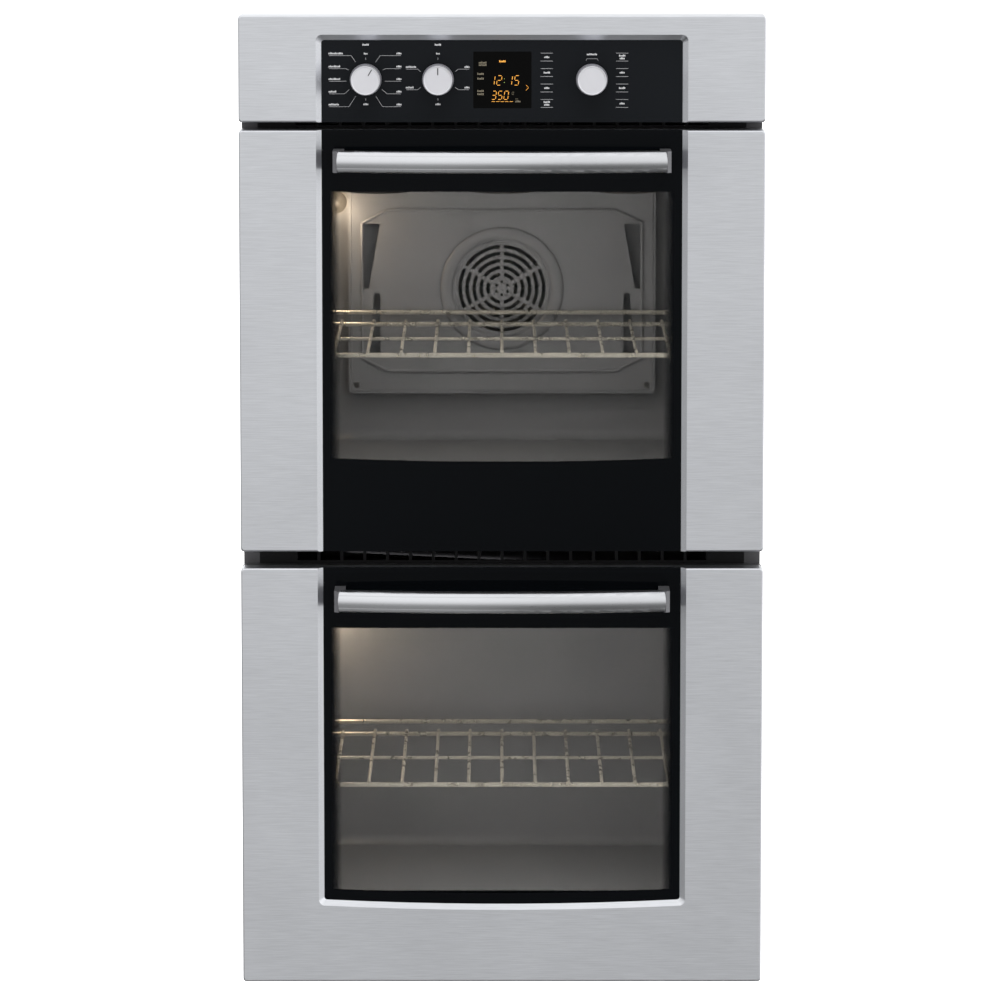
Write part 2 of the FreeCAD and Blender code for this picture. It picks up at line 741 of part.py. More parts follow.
# ---- Convection fan, lamp, probe ------------------------------------------------------------
def ring_slot(r, width, y0, y1):
    outer = cyl(r + width / 2, y1 - y0, 0, y0, fan_z(), "y")
    return outer.cut(cyl(r - width / 2, y1 - y0, 0, y0, fan_z(), "y"))


def grille_cuts(y0, y1):
    """Rings of slots between six spokes, round a ring of small holes."""
    outer = cyl(grille_pitch * (grille_rings + 1) + grille_slot / 2, y1 - y0, 0, y0, fan_z(), "y")
    rings = [ring_slot(grille_pitch * (i + 2), grille_slot, y0, y1) for i in range(grille_rings)]
    spokes = []
    for i in range(3):
        spoke = box(-spoke_w / 2, spoke_w / 2, y0 - 1, y1 + 1, fan_z() - dish_r, fan_z() + dish_r)
        spoke.rotate(Vector(0, 0, fan_z()), Vector(0, 1, 0), 60 * i)
        spokes.append(spoke)
    slots = [ring.common(outer).cut(spokes) for ring in rings]
    for i in range(6):
        angle = math.radians(60 * i + 30)
        slots.append(cyl(2.0, y1 - y0, 9 * math.cos(angle), y0, fan_z() + 9 * math.sin(angle), "y"))
    return slots


def tapered_vents(y0, y1):
    """Two upright vents on the left of the grille, wide towards the octagon's corners."""
    floor = oven_floor(z_upper)
    x_out = vent_out - octagon_w / 2
    x_in = vent_in - octagon_w / 2
    foot, head = vent_top
    upper = [(x_out, y0, floor + head), (x_in, y0, floor + head),
             (x_out + vent_slim, y0, floor + foot), (x_out, y0, floor + foot)]
    foot, head = vent_low
    lower = [(x_out + vent_neck, y0, floor + head), (x_in, y0, floor + head),
             (x_in, y0, floor + foot), (x_out + vent_drift, y0, floor + foot)]
    return [prism(points, (0, y1 - y0, 0)) for points in (upper, lower)]


def fan_baffle():
    z = oven_floor(z_upper)
    y0 = y_cavity_back - baffle_stand
    half = baffle_w / 2
    body = rounded_slab(-half, half, z + baffle_low, z + baffle_high, baffle_corner_r, y0,
                        y_cavity_back)
    pocket = rounded_slab(-half + sheet, half - sheet, z + baffle_low + sheet,
                          z + baffle_high - sheet, baffle_corner_r - sheet, y0 + sheet,
                          y_cavity_back + 1)
    w = octagon_w / 2
    low = z + octagon_low
    high = z + octagon_high
    cx = octagon_cut_x
    cz = octagon_cut_z
    outline = [(-w + cx, y0, low), (w - cx, y0, low), (w, y0, low + cz), (w, y0, high - cz),
               (w - cx, y0, high), (-w + cx, y0, high), (-w, y0, high - cz), (-w, y0, low + cz)]
    raised = prism(outline, (0, -emboss_t, 0))
    crest = [e for e in raised.Edges if e.BoundBox.YMax < y0 - emboss_t + 1e-6]
    raised = raised.makeChamfer(emboss_t - 0.5, crest)
    dish = cyl(dish_r, emboss_t + 1, 0, y0 - emboss_t - 1, fan_z(), "y")
    whole = fused([body.cut(pocket), raised]).cut(dish)
    vents = tapered_vents(y0 - emboss_t - 1, y0 + sheet + 1)
    cuts = grille_cuts(y0 - 1, y0 + sheet + 1) + vents + [mirrored(v) for v in vents]
    holes = [cyl(baffle_hole_r, sheet + 2, x, y0 - 1, z, "y") for x, z in baffle_screw_places()]
    return whole.cut(cuts + holes)


def baffle_screw_places():
    floor = oven_floor(z_upper)
    half = baffle_w / 2 - baffle_screw_in
    heights = (floor + baffle_low + baffle_screw_in, floor + baffle_high - baffle_screw_in)
    return [(x, z) for x in (-half, half) for z in heights]


def baffle_screws():
    y0 = y_cavity_back - baffle_stand
    screws = []
    for x, z in baffle_screw_places():
        head = cyl(baffle_screw_r, baffle_screw_h, x, y0 - baffle_screw_h, z, "y")
        stem = cyl(baffle_hole_r, sheet + 6, x, y0, z, "y")
        screws.append(fused([head, stem]))
    return screws


def convection_fan():
    """Paddle wheel with its shaft, which runs in the motor."""
    y1 = y_cavity_back - 4
    y0 = y1 - fan_depth
    z = fan_z()
    pieces = [cyl(12.0, fan_depth, 0, y0, z, "y"), cyl(fan_r, 1.5, 0, y1 - 1.5, z, "y")]
    for i in range(fan_blades):
        blade = box(9, fan_r - 2, y0, y1 - 1, z - 0.8, z + 0.8)
        blade.rotate(Vector(0, 0, z), Vector(0, 1, 0), 360 * i / fan_blades)
        pieces.append(blade)
    pieces.append(cyl(shaft_r, motor_y() + 20 - y1 + 1, 0, y1 - 1, z, "y"))
    return fused(pieces)


def motor_y():
    return y_cavity_back + cavity_t + insulation_t + 2


def fan_motor():
    """Motor behind the blanket, held to the back wall by a spacer tube."""
    z = fan_z()
    y0 = y_cavity_back + cavity_t
    tube = cyl(20.0, motor_y() - y0, 0, y0, z, "y").cut(cyl(17.0, motor_y() - y0, 0, y0, z, "y"))
    body = cyl(motor_r, motor_len, 0, motor_y(), z, "y")
    front = [e for e in body.Edges if e.BoundBox.YMin > motor_y() + motor_len - 1e-6]
    body = body.makeFillet(4.0, front)
    bore = cyl(shaft_r + shaft_running_fit, 21, 0, motor_y(), z, "y")
    return fused([tube, body]).cut(bore)


def ring_element():
    """The heating ring round the fan, with two legs out through the back wall."""
    y = y_cavity_back - baffle_stand / 2
    z = fan_z()
    drop = math.sqrt(ring_element_r ** 2 - 20 ** 2)
    start = Vector(20, y, z - drop)
    end = Vector(-20, y, z - drop)
    arc = Part.Arc(start, Vector(0, y, z + ring_element_r), end).toShape()
    tangent = Vector(-drop / ring_element_r, 0, -20 / ring_element_r)
    ring = Part.Wire(Part.makeCircle(element_r, start, tangent))
    hoop = Part.Wire([arc]).makePipeShell([ring], True, True)
    length = insulation_t + cavity_t + baffle_stand / 2 + 10
    legs = [cyl(element_r, length, x, y, z - drop, "y") for x in (-20, 20)]
    knuckles = [Part.makeSphere(element_r, Vector(x, y, z - drop)) for x in (-20, 20)]
    return fused([hoop] + legs + knuckles)


def lamp_lens(z0):
    y = y_cavity_back
    flange = cyl(lamp_r + 2, lamp_flange, -lamp_x, y - lamp_flange, lamp_z(z0), "y")
    neck = cyl(lamp_r, cavity_t + 8, -lamp_x, y, lamp_z(z0), "y")
    dome = Part.makeSphere(lamp_r + 4, Vector(-lamp_x, y + 8, lamp_z(z0)))
    dome = dome.common(cyl(lamp_r, 20, -lamp_x, y - 20, lamp_z(z0), "y"))
    hollow = cyl(lamp_r - 3, cavity_t + 10, -lamp_x, y - 1, lamp_z(z0), "y")
    return fused([flange, neck, dome]).cut(hollow)


def lamp_holder(z0):
    """Cup behind the back wall, with the bulb inside it."""
    y0 = y_cavity_back + cavity_t
    cup = cyl(lamp_r + 4, insulation_t + 6, -lamp_x, y0, lamp_z(z0), "y")
    cup = cup.cut(cyl(lamp_r, insulation_t, -lamp_x, y0, lamp_z(z0), "y"))
    bulb = cyl(6.0, 22, -lamp_x, y0 + insulation_t - 22, lamp_z(z0), "y")
    return fused([cup, bulb])


def probe(z0):
    length = probe_len + cavity_t + insulation_t
    rod = cyl(probe_r, length, probe_x, y_cavity_back - probe_len, probe_z(z0), "y")
    tip = Part.makeSphere(probe_r, Vector(probe_x, y_cavity_back - probe_len, probe_z(z0)))
    collar = cyl(6.0, 2.0, probe_x, y_cavity_back - 2, probe_z(z0), "y")
    return fused([rod, tip, collar])


# ---- Chassis --------------------------------------------------------------------------------
def front_frame():
    plate = box(-half_body, half_body, y_frame, y_inside, 0, chassis_h)
    cuts = []
    for name, z0 in ovens:
        z = oven_floor(z0)
        cuts.append(rounded_slab(-half_cavity, half_cavity, z, z + cavity_h, cavity_r,
                                 y_frame - 1, y_inside + 1))
        z_axis = z0 + hinge_up
        slot = box(hinge_x - slot_gap, hinge_x + tongue_t + slot_gap, y_frame - 1, y_inside + 1,
                   z_axis - hinge_boss_r - slot_gap, z_axis + hinge_boss_r + slot_gap)
        cuts += both_sides(slot)
        z_hook = z + cavity_h + latch_rise
        cuts.append(box(-hook_w / 2 - latch_slot_gap, hook_len + hook_w / 2 + latch_slot_gap,
                        y_frame - 1, y_inside + 1, z_hook - hook_t / 2 - latch_slot_gap,
                        z_hook + hook_t / 2 + latch_slot_gap))
        cuts.append(louvre_slot(z0))
    cuts.append(box(-wiring_hole_half_w, wiring_hole_half_w, y_frame - 1, y_inside + 1,
                    z_fascia + 14, chassis_h - 14))
    return plate.cut(cuts)


def louvre_place(z0):
    """Height and half height of the vent above a door."""
    gap = gap_doors if z0 == z_lower else gap_fascia
    return z0 + door_h + gap / 2, gap / 2 - 1


def louvre_slot(z0):
    z, half = louvre_place(z0)
    return box(-hinge_x + 12, hinge_x - 12, y_frame - 1, y_inside + 1, z - half, z + half)


def vent_louvre(z0):
    """A strip of slats set in the front frame's vent slot."""
    z, half = louvre_place(z0)
    x = hinge_x - 12
    strip = box(-x, x, y_frame, y_frame + louvre_d, z - half, z + half)
    pitch = 30.0
    count = int(2 * (x - 6) // pitch)
    cuts = []
    for i in range(count):
        x0 = (i - count / 2) * pitch + 2
        cuts.append(box(x0, x0 + pitch - 4, y_frame - 1, y_frame + louvre_d + 1,
                        z - half + 1.5, z + half - 1.5))
    return strip.cut(cuts)


def side_panel():
    """Right-hand side of the body, with cooling slots."""
    panel = box(half_inside, half_body, y_inside, y_back, 0, chassis_h)
    slots = []
    for row_z in (chassis_h - 60, z_upper - 20):
        for i in range(8):
            y = y_back - 60 - 26 * i
            slots.append(rounded_hole_x(half_inside - 1, sheet + 2, y, row_z, 30))
    return panel.cut(slots)


def rounded_hole_x(x, length, y, z, height):
    """An upright slot with round ends through a side panel."""
    r = 3.0
    middle = box(x, x + length, y - r, y + r, z - height / 2, z + height / 2)
    ends = [cyl(r, length, x, y, z + side * height / 2, "x") for side in (-1, 1)]
    return fused([middle] + ends)


def top_cover():
    cover = box(-half_inside, half_inside, y_inside, y_back, chassis_h - sheet, chassis_h)
    hole = cyl(gland_r + gland_wall, sheet + 2, terminal_x, terminal_y, chassis_h - sheet - 1, "z")
    ribs = []
    for i in range(2):
        y = y_inside + 120 + 160 * i
        ribs.append(box(-half_inside + 40, half_inside - 40, y, y + 14, chassis_h, chassis_h + 3))
    return fused([cover] + ribs).cut(hole)


def rear_cover():
    plate = box(-half_inside, half_inside, y_back - sheet, y_back, sheet, chassis_h - sheet)
    cuts = []
    for z in (z_lower + door_h / 2, z_upper + door_h / 2):
        for i in range(7):
            for x in (-150, 150):
                slot = box(x - 50, x + 50, y_back - sheet - 1, y_back + 1, z - 45 + 14 * i, z - 41 + 14 * i)
                cuts.append(slot)
    return plate.cut(cuts)


def base_tray():
    """Floor of the body, with two runners that carry the lower oven's blanket."""
    floor = box(-half_inside, half_inside, y_inside, y_back, 0, sheet)
    pieces = [floor]
    for x in (-180, 180):
        hat = box(x - 25, x + 25, y_inside + 20, y_back - 60, 0, blanket_low(z_lower))
        inside = box(x - 25 + sheet, x + 25 - sheet, y_inside + 19, y_back - 59, -1,
                     blanket_low(z_lower) - sheet)
        pieces.append(hat.cut(inside))
    return fused(pieces)


def inner_shelf(z):
    """A shelf across the body, notched round the upper oven's hinge receivers."""
    shelf = box(-half_inside, half_inside, y_inside, y_back - sheet, z, z + sheet)
    return shelf.cut([hinge_clearance(z_upper, side) for side in (-1, 1)])


def upper_deck_z():
    return blanket_high(z_upper)


def trim_flange():
    """Grey flange on the right, screwed to the cabinet."""
    x1 = half_face - trim_reach
    flange = box(half_body, x1, y_frame, y_frame + trim_t, door_lift, chassis_h)
    leg = box(half_body, half_body + trim_t, y_frame, y_frame + trim_leg, door_lift, chassis_h)
    holes = [cyl(trim_hole_r, trim_t + 2, x1 - trim_hole_in, y_frame - 1, z, "y") for z in trim_hole_z]
    return fused([flange, leg]).cut(holes)


def hinge_receiver(z0):
    """Bracket behind the frame, with a tongue out to the hinge axis and the pin in its end."""
    z = z0 + hinge_up
    x0 = hinge_x
    x1 = hinge_x + tongue_t
    tongue = box(x0, x1, y_hinge, y_inside + receiver_len, z - hinge_boss_r, z + hinge_boss_r)
    boss = cyl(hinge_boss_r, tongue_t, x0, y_hinge, z, "x")
    plate = box(x0, half_inside, y_inside, y_inside + 2.5, z + hinge_boss_r + 2, z + 45)
    rib = box(x0, x1, y_inside, y_inside + receiver_len, z, z + 45)
    pin_x = x0 - hinge_side_gap - arm_t - 0.5
    pin = cyl(hinge_pin_r, x1 - pin_x, pin_x, y_hinge, z, "x")
    return fused([tongue, boss, plate, rib, pin])


# ---- Latches --------------------------------------------------------------------------------
def hook_z(z0):
    return oven_floor(z0) + cavity_h + latch_rise


def latch_hook(z0):
    """A flat lever that swings out through the frame into the door."""
    z = hook_z(z0) - hook_t / 2
    y = y_frame + hook_pivot_back
    eye = cyl(hook_w / 2 + 2, hook_t, 0, y, z, "z")
    arm = box(0, hook_len - hook_w / 2, y - hook_w / 2 + 1, y + hook_w / 2 - 1, z, z + hook_t)
    tip = cyl(hook_w / 2, hook_t, hook_len - hook_w / 2, y, z, "z")
    bore = cyl(latch_pin_r + latch_running_fit, hook_t + 2, 0, y, z - 1, "z")
    return fused([eye, arm, tip]).cut(bore)


def latch_motor(z0):
    """Motor on its shelf, with the upright pin that the hook turns on."""
    deck = blanket_high(z0) + sheet
    y = y_frame + hook_pivot_back
    z_top_body = hook_z(z0) - hook_t / 2 - 0.5
    body = box(-latch_body / 2, latch_body / 2, y - 10, y + latch_body, deck, z_top_body)
    pin = cyl(latch_pin_r, z_top_body - deck + hook_t + 1.5, 0, y, deck, "z")
    return fused([body, pin])


# ---- Controls -------------------------------------------------------------------------------
def control_fascia():
    """Folded stainless surround, with a lip at the back that meets the front frame."""
    pan = face_pan(z_fascia, z_top, z_fascia, z_fascia + control_glass_h, 0)
    sleeve = rounded_slab(-half_face, half_face, z_fascia, z_top, face_corner_r,
                          y_face + skin_d, y_frame)
    hollow = rounded_slab(-half_face + skin_t, half_face - skin_t, z_fascia + skin_t,
                          z_top - skin_t, face_corner_r - skin_t, y_face + skin_d - 1, y_frame - skin_t)
    back = box(-half_body + 12, half_body - 12, y_frame - skin_t - 1, y_frame + 1,
               z_fascia + 12, chassis_h - 12)
    return fused([pan, sleeve.cut([hollow, back])])


def knob_z():
    return z_fascia + knob_rise


def y_control_back():
    """Back of the control glass."""
    return y_face + glass_recess + glass_t


def y_board():
    return y_control_back() + display_t


def control_glass():
    pane = glass_pane(z_fascia, z_fascia + control_glass_h + glass_lap)
    r = knob_shaft_r + knob_glass_gap
    holes = [cyl(r, glass_t + 2, x, y_face + glass_recess - 1, knob_z(), "y") for x in knob_x]
    return pane.cut(holes)


def display_module():
    return box(display_x0, display_x1, y_control_back(), y_board(), z_fascia + display_low,
               z_fascia + display_high)


def knob_encoder(x):
    half = encoder_size / 2
    body = box(x - half, x + half, y_control_back() + 2, y_board(), knob_z() - half, knob_z() + half)
    bore = cyl(knob_shaft_r + knob_running_fit, display_t, x, y_control_back(), knob_z(), "y")
    return body.cut(bore)


def control_board():
    return box(-board_w / 2, board_w / 2, y_board(), y_board() + board_t, z_fascia + board_low,
               z_fascia + board_high)


def control_bracket():
    """Tray that carries the board from the front frame."""
    y0 = y_board() + board_t
    half = board_w / 2
    z0 = z_fascia + board_low
    z1 = z_fascia + board_high
    plate = box(-half, half, y0, y0 + sheet, z0, z1)
    legs = [box(-half, half, y0, y_frame, z, z + sheet) for z in (z0, z1 - sheet)]
    window = box(-half + 40, half - 40, y0 - 1, y0 + sheet + 1, z0 + 20, z1 - 20)
    return fused([plate] + legs).cut(window)


def knob(x):
    """Turned knob with a skirt and a shaft that runs in its encoder."""
    y0 = y_face + glass_recess - knob_gap
    z = knob_z()
    y_tip = y0 - knob_d
    skirt_d = 6.0
    profile = [(0, y_tip), (knob_r - 1.5, y_tip), (knob_r, y_tip + 1.5), (knob_r + 0.4, y0 - skirt_d),
               (knob_base_r, y0 - skirt_d + 1.5), (knob_base_r, y0), (0, y0)]
    wire = Part.makePolygon([Vector(x + r, y, z) for r, y in profile + profile[:1]])
    body = Part.Face(wire).revolve(Vector(x, 0, z), Vector(0, 1, 0), 360)
    shaft = cyl(knob_shaft_r, y_board() - 1 - y0 + 1, x, y0 - 1, z, "y")
    return fused([body, shaft])


# ---- Cooling blower, terminal box -----------------------------------------------------------
def blower_deck():
    return upper_deck_z() + sheet


def blower_housing():
    """Round fan case on the deck, with a flat duct to the vent over the upper door."""
    z0 = blower_deck()
    r = blower_r + blower_clear
    h = blower_wheel_h + 2 * blower_clear
    w = blower_wall
    half = duct_w / 2
    case = cyl(r + w, h + w, 0, blower_y, z0, "z")
    neck = box(-r - w, r + w, y_inside + neck_front, blower_y, z0, z0 + h + w)
    z_duct = z0 + duct_rise
    y_mouth = y_frame + louvre_d
    flare = prism([(-half, y_mouth, z_duct), (half, y_mouth, z_duct),
                   (r + w, y_inside + neck_front, z_duct), (-r - w, y_inside + neck_front, z_duct)],
                  (0, 0, duct_h + w))
    inner_case = cyl(r, h, 0, blower_y, z0, "z")
    inner_neck = box(-r, r, y_inside + neck_front + w, blower_y, z0 + w, z0 + h)
    inner_flare = prism([(-half + w, y_mouth - 1, z_duct + w), (half - w, y_mouth - 1, z_duct + w),
                         (r, y_inside + neck_front + 3, z_duct + w),
                         (-r, y_inside + neck_front + 3, z_duct + w)], (0, 0, duct_h - w))
    inlet = cyl(blower_r * 0.62, 20, 0, blower_y, z0 + h - 8, "z")
    return fused([case, neck, flare]).cut([inner_case, inner_neck, inner_flare, inlet])


def blower_motor():
    """Motor over the wheel, on three arms, with its shaft pin down into the wheel."""
    z = blower_deck() + blower_wheel_h + 2 * blower_clear + blower_wall
    body = cyl(blower_motor_r, blower_motor_h, 0, blower_y, z + 6, "z")
    crown = [e for e in body.Edges if e.BoundBox.ZMin > z + 6 + blower_motor_h - 1e-6]
    body = body.makeFillet(4.0, crown)
    arms = []
    for i in range(3):
        arm = box(0, blower_r, blower_y - 7, blower_y + 7, z, z + 6)
        arm.rotate(Vector(0, blower_y, 0), Vector(0, 0, 1), 120 * i + 30)
        arms.append(arm)
    pin = cyl(shaft_r, 30, 0, blower_y, z - 24, "z")
    return fused([body, pin] + arms)


def blower_wheel():
    z0 = blower_deck() + blower_clear
    plate = cyl(blower_r, 1.5, 0, blower_y, z0, "z")
    hub = cyl(10.0, blower_wheel_h * 0.75, 0, blower_y, z0, "z")
    rim = cyl(blower_r, 3.0, 0, blower_y, z0 + blower_wheel_h - 3, "z")
    rim = rim.cut(cyl(blower_r - 5, 5.0, 0, blower_y, z0 + blower_wheel_h - 4, "z"))
    pieces = [plate, hub, rim]
    for i in range(blower_blades):
        blade = box(blower_r - 12, blower_r - 1, blower_y - 0.8, blower_y + 0.8, z0, z0 + blower_wheel_h)
        blade.rotate(Vector(0, blower_y, 0), Vector(0, 0, 1), 360 * i / blower_blades)
        pieces.append(blade)
    bore = cyl(shaft_r + shaft_running_fit, blower_wheel_h, 0, blower_y, z0 - 1, "z")
    return fused(pieces).cut(bore)


def terminal_box():
    z1 = chassis_h - sheet
    half = terminal_w / 2
    shell = box(terminal_x - half, terminal_x + half, terminal_y - half, terminal_y + half,
                z1 - terminal_h, z1)
    inside = box(terminal_x - half + sheet, terminal_x + half - sheet, terminal_y - half + sheet,
                 terminal_y + half - sheet, z1 - terminal_h + sheet, z1 + 1)
    blocks = [box(terminal_x - 30 + 22 * i, terminal_x - 14 + 22 * i, terminal_y - 12, terminal_y + 12,
                  z1 - terminal_h, z1 - terminal_h + 18) for i in range(3)]
    return fused([shell.cut(inside)] + blocks)


def conduit_gland():
    """Threaded bush in the top cover, with its lock nut."""
    z0 = chassis_h - sheet - 6
    tube = cyl(gland_r + gland_wall, gland_h + sheet + 6, terminal_x, terminal_y, z0, "z")
    angles = [math.radians(60 * i) for i in range(6)]
    nut = prism([(terminal_x + gland_nut_r * math.cos(a), terminal_y + gland_nut_r * math.sin(a),
                  chassis_h) for a in angles], (0, 0, 5))
    bore = cyl(gland_r, gland_h + sheet + 10, terminal_x, terminal_y, z0 - 2, "z")
    return fused([tube, nut]).cut(bore)


# ---- Write every node -----------------------------------------------------------------------
def write_doors():
    for name, z0 in ovens:
        save(name + "_door_skin", door_skin(z0))
        save(name + "_door_outer_glass", outer_glass(z0))
        save(name + "_door_inner_panes", [middle_pane(z0), inner_pane(z0)])
        save(name + "_door_pane_carrier", pane_carrier(z0))
        save(name + "_door_liner", door_liner(z0))
        save(name + "_door_hinge_arms", both_sides(hinge_arm(z0)))
        save(name + "_handle_bar", handle_bar(z0))
        save(name + "_handle_posts", both_sides(handle_post(z0)))


def write_ovens():
    for name, z0 in ovens:
        save(name + "_cavity", oven_cavity(z0))
        save(name + "_rack", rack(z0))
        save(name + "_latch_hook", latch_hook(z0))
    floors = [z0 for name, z0 in ovens]
    save("insulation_blankets", [insulation_blanket(z0) for z0 in floors])
    save("door_gaskets", [gasket(z0) for z0 in floors])
    save("broil_elements", [broil_element(z0) for z0 in floors])
    save("bake_elements", [bake_element(z0) for z0 in floors])
    save("rack_guides", [side for z0 in floors for side in both_sides(rack_guide(z0))])
    save("lamp_lenses", [lamp_lens(z0) for z0 in floors])
    save("lamp_holders", [lamp_holder(z0) for z0 in floors])
    save("temperature_probes", [probe(z0) for z0 in floors])
    save("latch_motors", [latch_motor(z0) for z0 in floors])
    save("hinge_receivers", [side for z0 in floors for side in both_sides(hinge_receiver(z0))])
    save("vent_louvres", [vent_louvre(z0) for z0 in floors])


def write_convection():
    save("fan_baffle", fan_baffle())
    save("baffle_screws", baffle_screws())
    save("convection_fan", convection_fan())
    save("convection_element", ring_element())
    save("fan_motor", fan_motor())


def write_chassis():
    save("front_frame", front_frame())
    save("right_side_panel", side_panel())
    save("left_side_panel", mirrored(side_panel()))
    save("top_cover", top_cover())
    save("rear_cover", rear_cover())
    save("base_tray", base_tray())
    shelf_heights = (blanket_high(z_lower), blanket_low(z_upper) - sheet, upper_deck_z())
    save("inner_shelves", [inner_shelf(z) for z in shelf_heights])
    save("trim_flanges", both_sides(trim_flange()))


def write_controls():
    save("control_fascia", control_fascia())
    save("control_glass", control_glass())
    save("display_module", display_module())
    save("control_board", control_board())
    save("control_bracket", control_bracket())
    save("knob_encoders", [knob_encoder(x) for x in knob_x])
    for name, x in zip(("upper_mode_knob", "lower_mode_knob", "settings_knob"), knob_x):
        save(name, knob(x))


def write_blower():
    save("blower_housing", blower_housing())
    save("blower_motor", blower_motor())
    save("cooling_blower_wheel", blower_wheel())
    save("terminal_box", terminal_box())
    save("conduit_gland", conduit_gland())


os.makedirs("parts", exist_ok=True)
write_doors()
write_ovens()
write_convection()
write_chassis()
write_controls()
write_blower()
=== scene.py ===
# %% [markdown]
# # A built-in double wall oven
# This lesson dresses a finished design. The design came from a CAD program, so every part already
# has its true size and place. Our job is the looks: soft edges, brushed steel, black glass that
# fades to clear over each window, lit ovens behind it, and the printed control panel.
#
# The frame is loaded first. It gives the CAD parts as objects, and the names of the bodies that
# move, such as a door.

# %% Load the frame
import math

import bpy
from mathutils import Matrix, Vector


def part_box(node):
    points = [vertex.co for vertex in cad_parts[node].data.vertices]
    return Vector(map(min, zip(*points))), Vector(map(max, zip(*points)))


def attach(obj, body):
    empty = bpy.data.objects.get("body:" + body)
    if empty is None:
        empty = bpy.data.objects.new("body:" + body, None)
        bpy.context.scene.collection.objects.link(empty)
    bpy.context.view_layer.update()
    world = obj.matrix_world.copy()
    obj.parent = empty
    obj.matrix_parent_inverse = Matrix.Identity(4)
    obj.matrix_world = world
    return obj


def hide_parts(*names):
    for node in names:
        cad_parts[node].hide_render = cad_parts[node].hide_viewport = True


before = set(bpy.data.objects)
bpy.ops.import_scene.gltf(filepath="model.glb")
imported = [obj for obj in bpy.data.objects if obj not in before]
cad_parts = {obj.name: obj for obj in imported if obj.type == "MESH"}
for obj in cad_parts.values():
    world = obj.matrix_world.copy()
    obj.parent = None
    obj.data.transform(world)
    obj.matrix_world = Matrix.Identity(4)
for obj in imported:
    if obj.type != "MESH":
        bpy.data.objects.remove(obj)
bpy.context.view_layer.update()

# %% [markdown]
# ## Helpers for working as if by hand
# Blender's operators act on whatever is selected, so each helper starts by clearing the selection.
# A start shape is a primitive at its size and place. `pick` then selects faces, edges or corners
# by where they are, which is what a hand and a mouse would do, and leaves the object in edit mode.

# %% Primitives at their size and place
def fresh(name):
    """Name the object that an operator has just added, and put its place in its mesh."""
    obj = bpy.context.object
    obj.name = name
    obj.data.name = name
    bpy.ops.object.transform_apply(location=True, rotation=True, scale=True)
    return obj


def only(obj):
    """Make one object the only one selected, and active."""
    bpy.ops.object.select_all(action="DESELECT")
    obj.select_set(True)
    bpy.context.view_layer.objects.active = obj


def block(name, low, high):
    """A box between two corners."""
    bpy.ops.object.select_all(action="DESELECT")
    low, high = Vector(low), Vector(high)
    bpy.ops.mesh.primitive_cube_add(size=1, location=(low + high) / 2)
    bpy.context.object.scale = high - low
    return fresh(name)


TURNS = {"x": (0, math.pi / 2, 0), "y": (math.pi / 2, 0, 0), "z": (0, 0, 0)}


def rod(name, radius, length, middle, axis, sides=24):
    """A round bar about one axis."""
    bpy.ops.object.select_all(action="DESELECT")
    bpy.ops.mesh.primitive_cylinder_add(vertices=sides, radius=radius, depth=length,
                                        location=middle, rotation=TURNS[axis])
    return fresh(name)


# %% Selecting by place, and finishing
def pick(obj, kind, test):
    """Select the faces, edges or corners whose place passes the test, in edit mode."""
    only(obj)
    bpy.ops.object.mode_set(mode="EDIT")
    bpy.ops.mesh.select_mode(type=kind)
    bpy.ops.mesh.select_all(action="DESELECT")
    bpy.ops.object.mode_set(mode="OBJECT")
    mesh = obj.data
    if kind == "FACE":
        for face in mesh.polygons:
            face.select = test(face.center, face.normal)
    elif kind == "EDGE":
        for edge in mesh.edges:
            edge.select = test(*[mesh.vertices[i].co for i in edge.vertices])
    else:
        for corner in mesh.vertices:
            corner.select = test(corner.co)
    bpy.ops.object.mode_set(mode="EDIT")


def leave():
    bpy.ops.object.mode_set(mode="OBJECT")


def bevel_edges(obj, test, width, segments=3):
    """Round the edges that pass the test."""
    pick(obj, "EDGE", test)
    bpy.ops.mesh.bevel(offset=width, segments=segments, affect="EDGES")
    leave()


def tidy_mesh(obj):
    """Merge doubled corners, and turn the faces outwards."""
    pick(obj, "VERT", lambda co: True)
    bpy.ops.mesh.remove_doubles(threshold=0.00001)
    bpy.ops.mesh.select_all(action="SELECT")
    bpy.ops.mesh.normals_make_consistent(inside=False)
    leave()


def smooth(obj, degrees=35):
    """Smooth shading that keeps real corners sharp."""
    only(obj)
    bpy.ops.object.shade_smooth_by_angle(angle=math.radians(degrees))


def joined(name, objects):
    """Join loose pieces into one object."""
    bpy.ops.object.select_all(action="DESELECT")
    for obj in objects:
        obj.select_set(True)
    bpy.context.view_layer.objects.active = objects[0]
    bpy.ops.object.join()
    whole = bpy.context.object
    whole.name = name
    whole.data.name = name
    return whole


def finished(obj, material, body, nodes=(), degrees=35):
    """Give a piece its shading, material, body and the CAD nodes that it stands for."""
    smooth(obj, degrees)
    obj.data.materials.clear()
    obj.data.materials.append(material)
    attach(obj, body)
    if nodes:
        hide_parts(*nodes)
    print(f"{obj.name}: {len(obj.data.polygons)} faces, on {body}")
    return obj


def along(axis, a, b, tolerance=1e-5):
    """True when an edge runs along one axis."""
    gap = [abs(a[i] - b[i]) for i in range(3)]
    return gap[axis] > tolerance and all(gap[i] <= tolerance for i in range(3) if i != axis)


# %% [markdown]
# ## Places that the whole lesson uses
# Everything is measured from the CAD parts. The upper door's face gives the front plane, which the
# camera looks at.

# %% Sizes from the frame
DOORS = ("upper", "lower")
FACE_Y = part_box("upper_door_skin")[0].y
print("front plane", round(FACE_Y, 4))

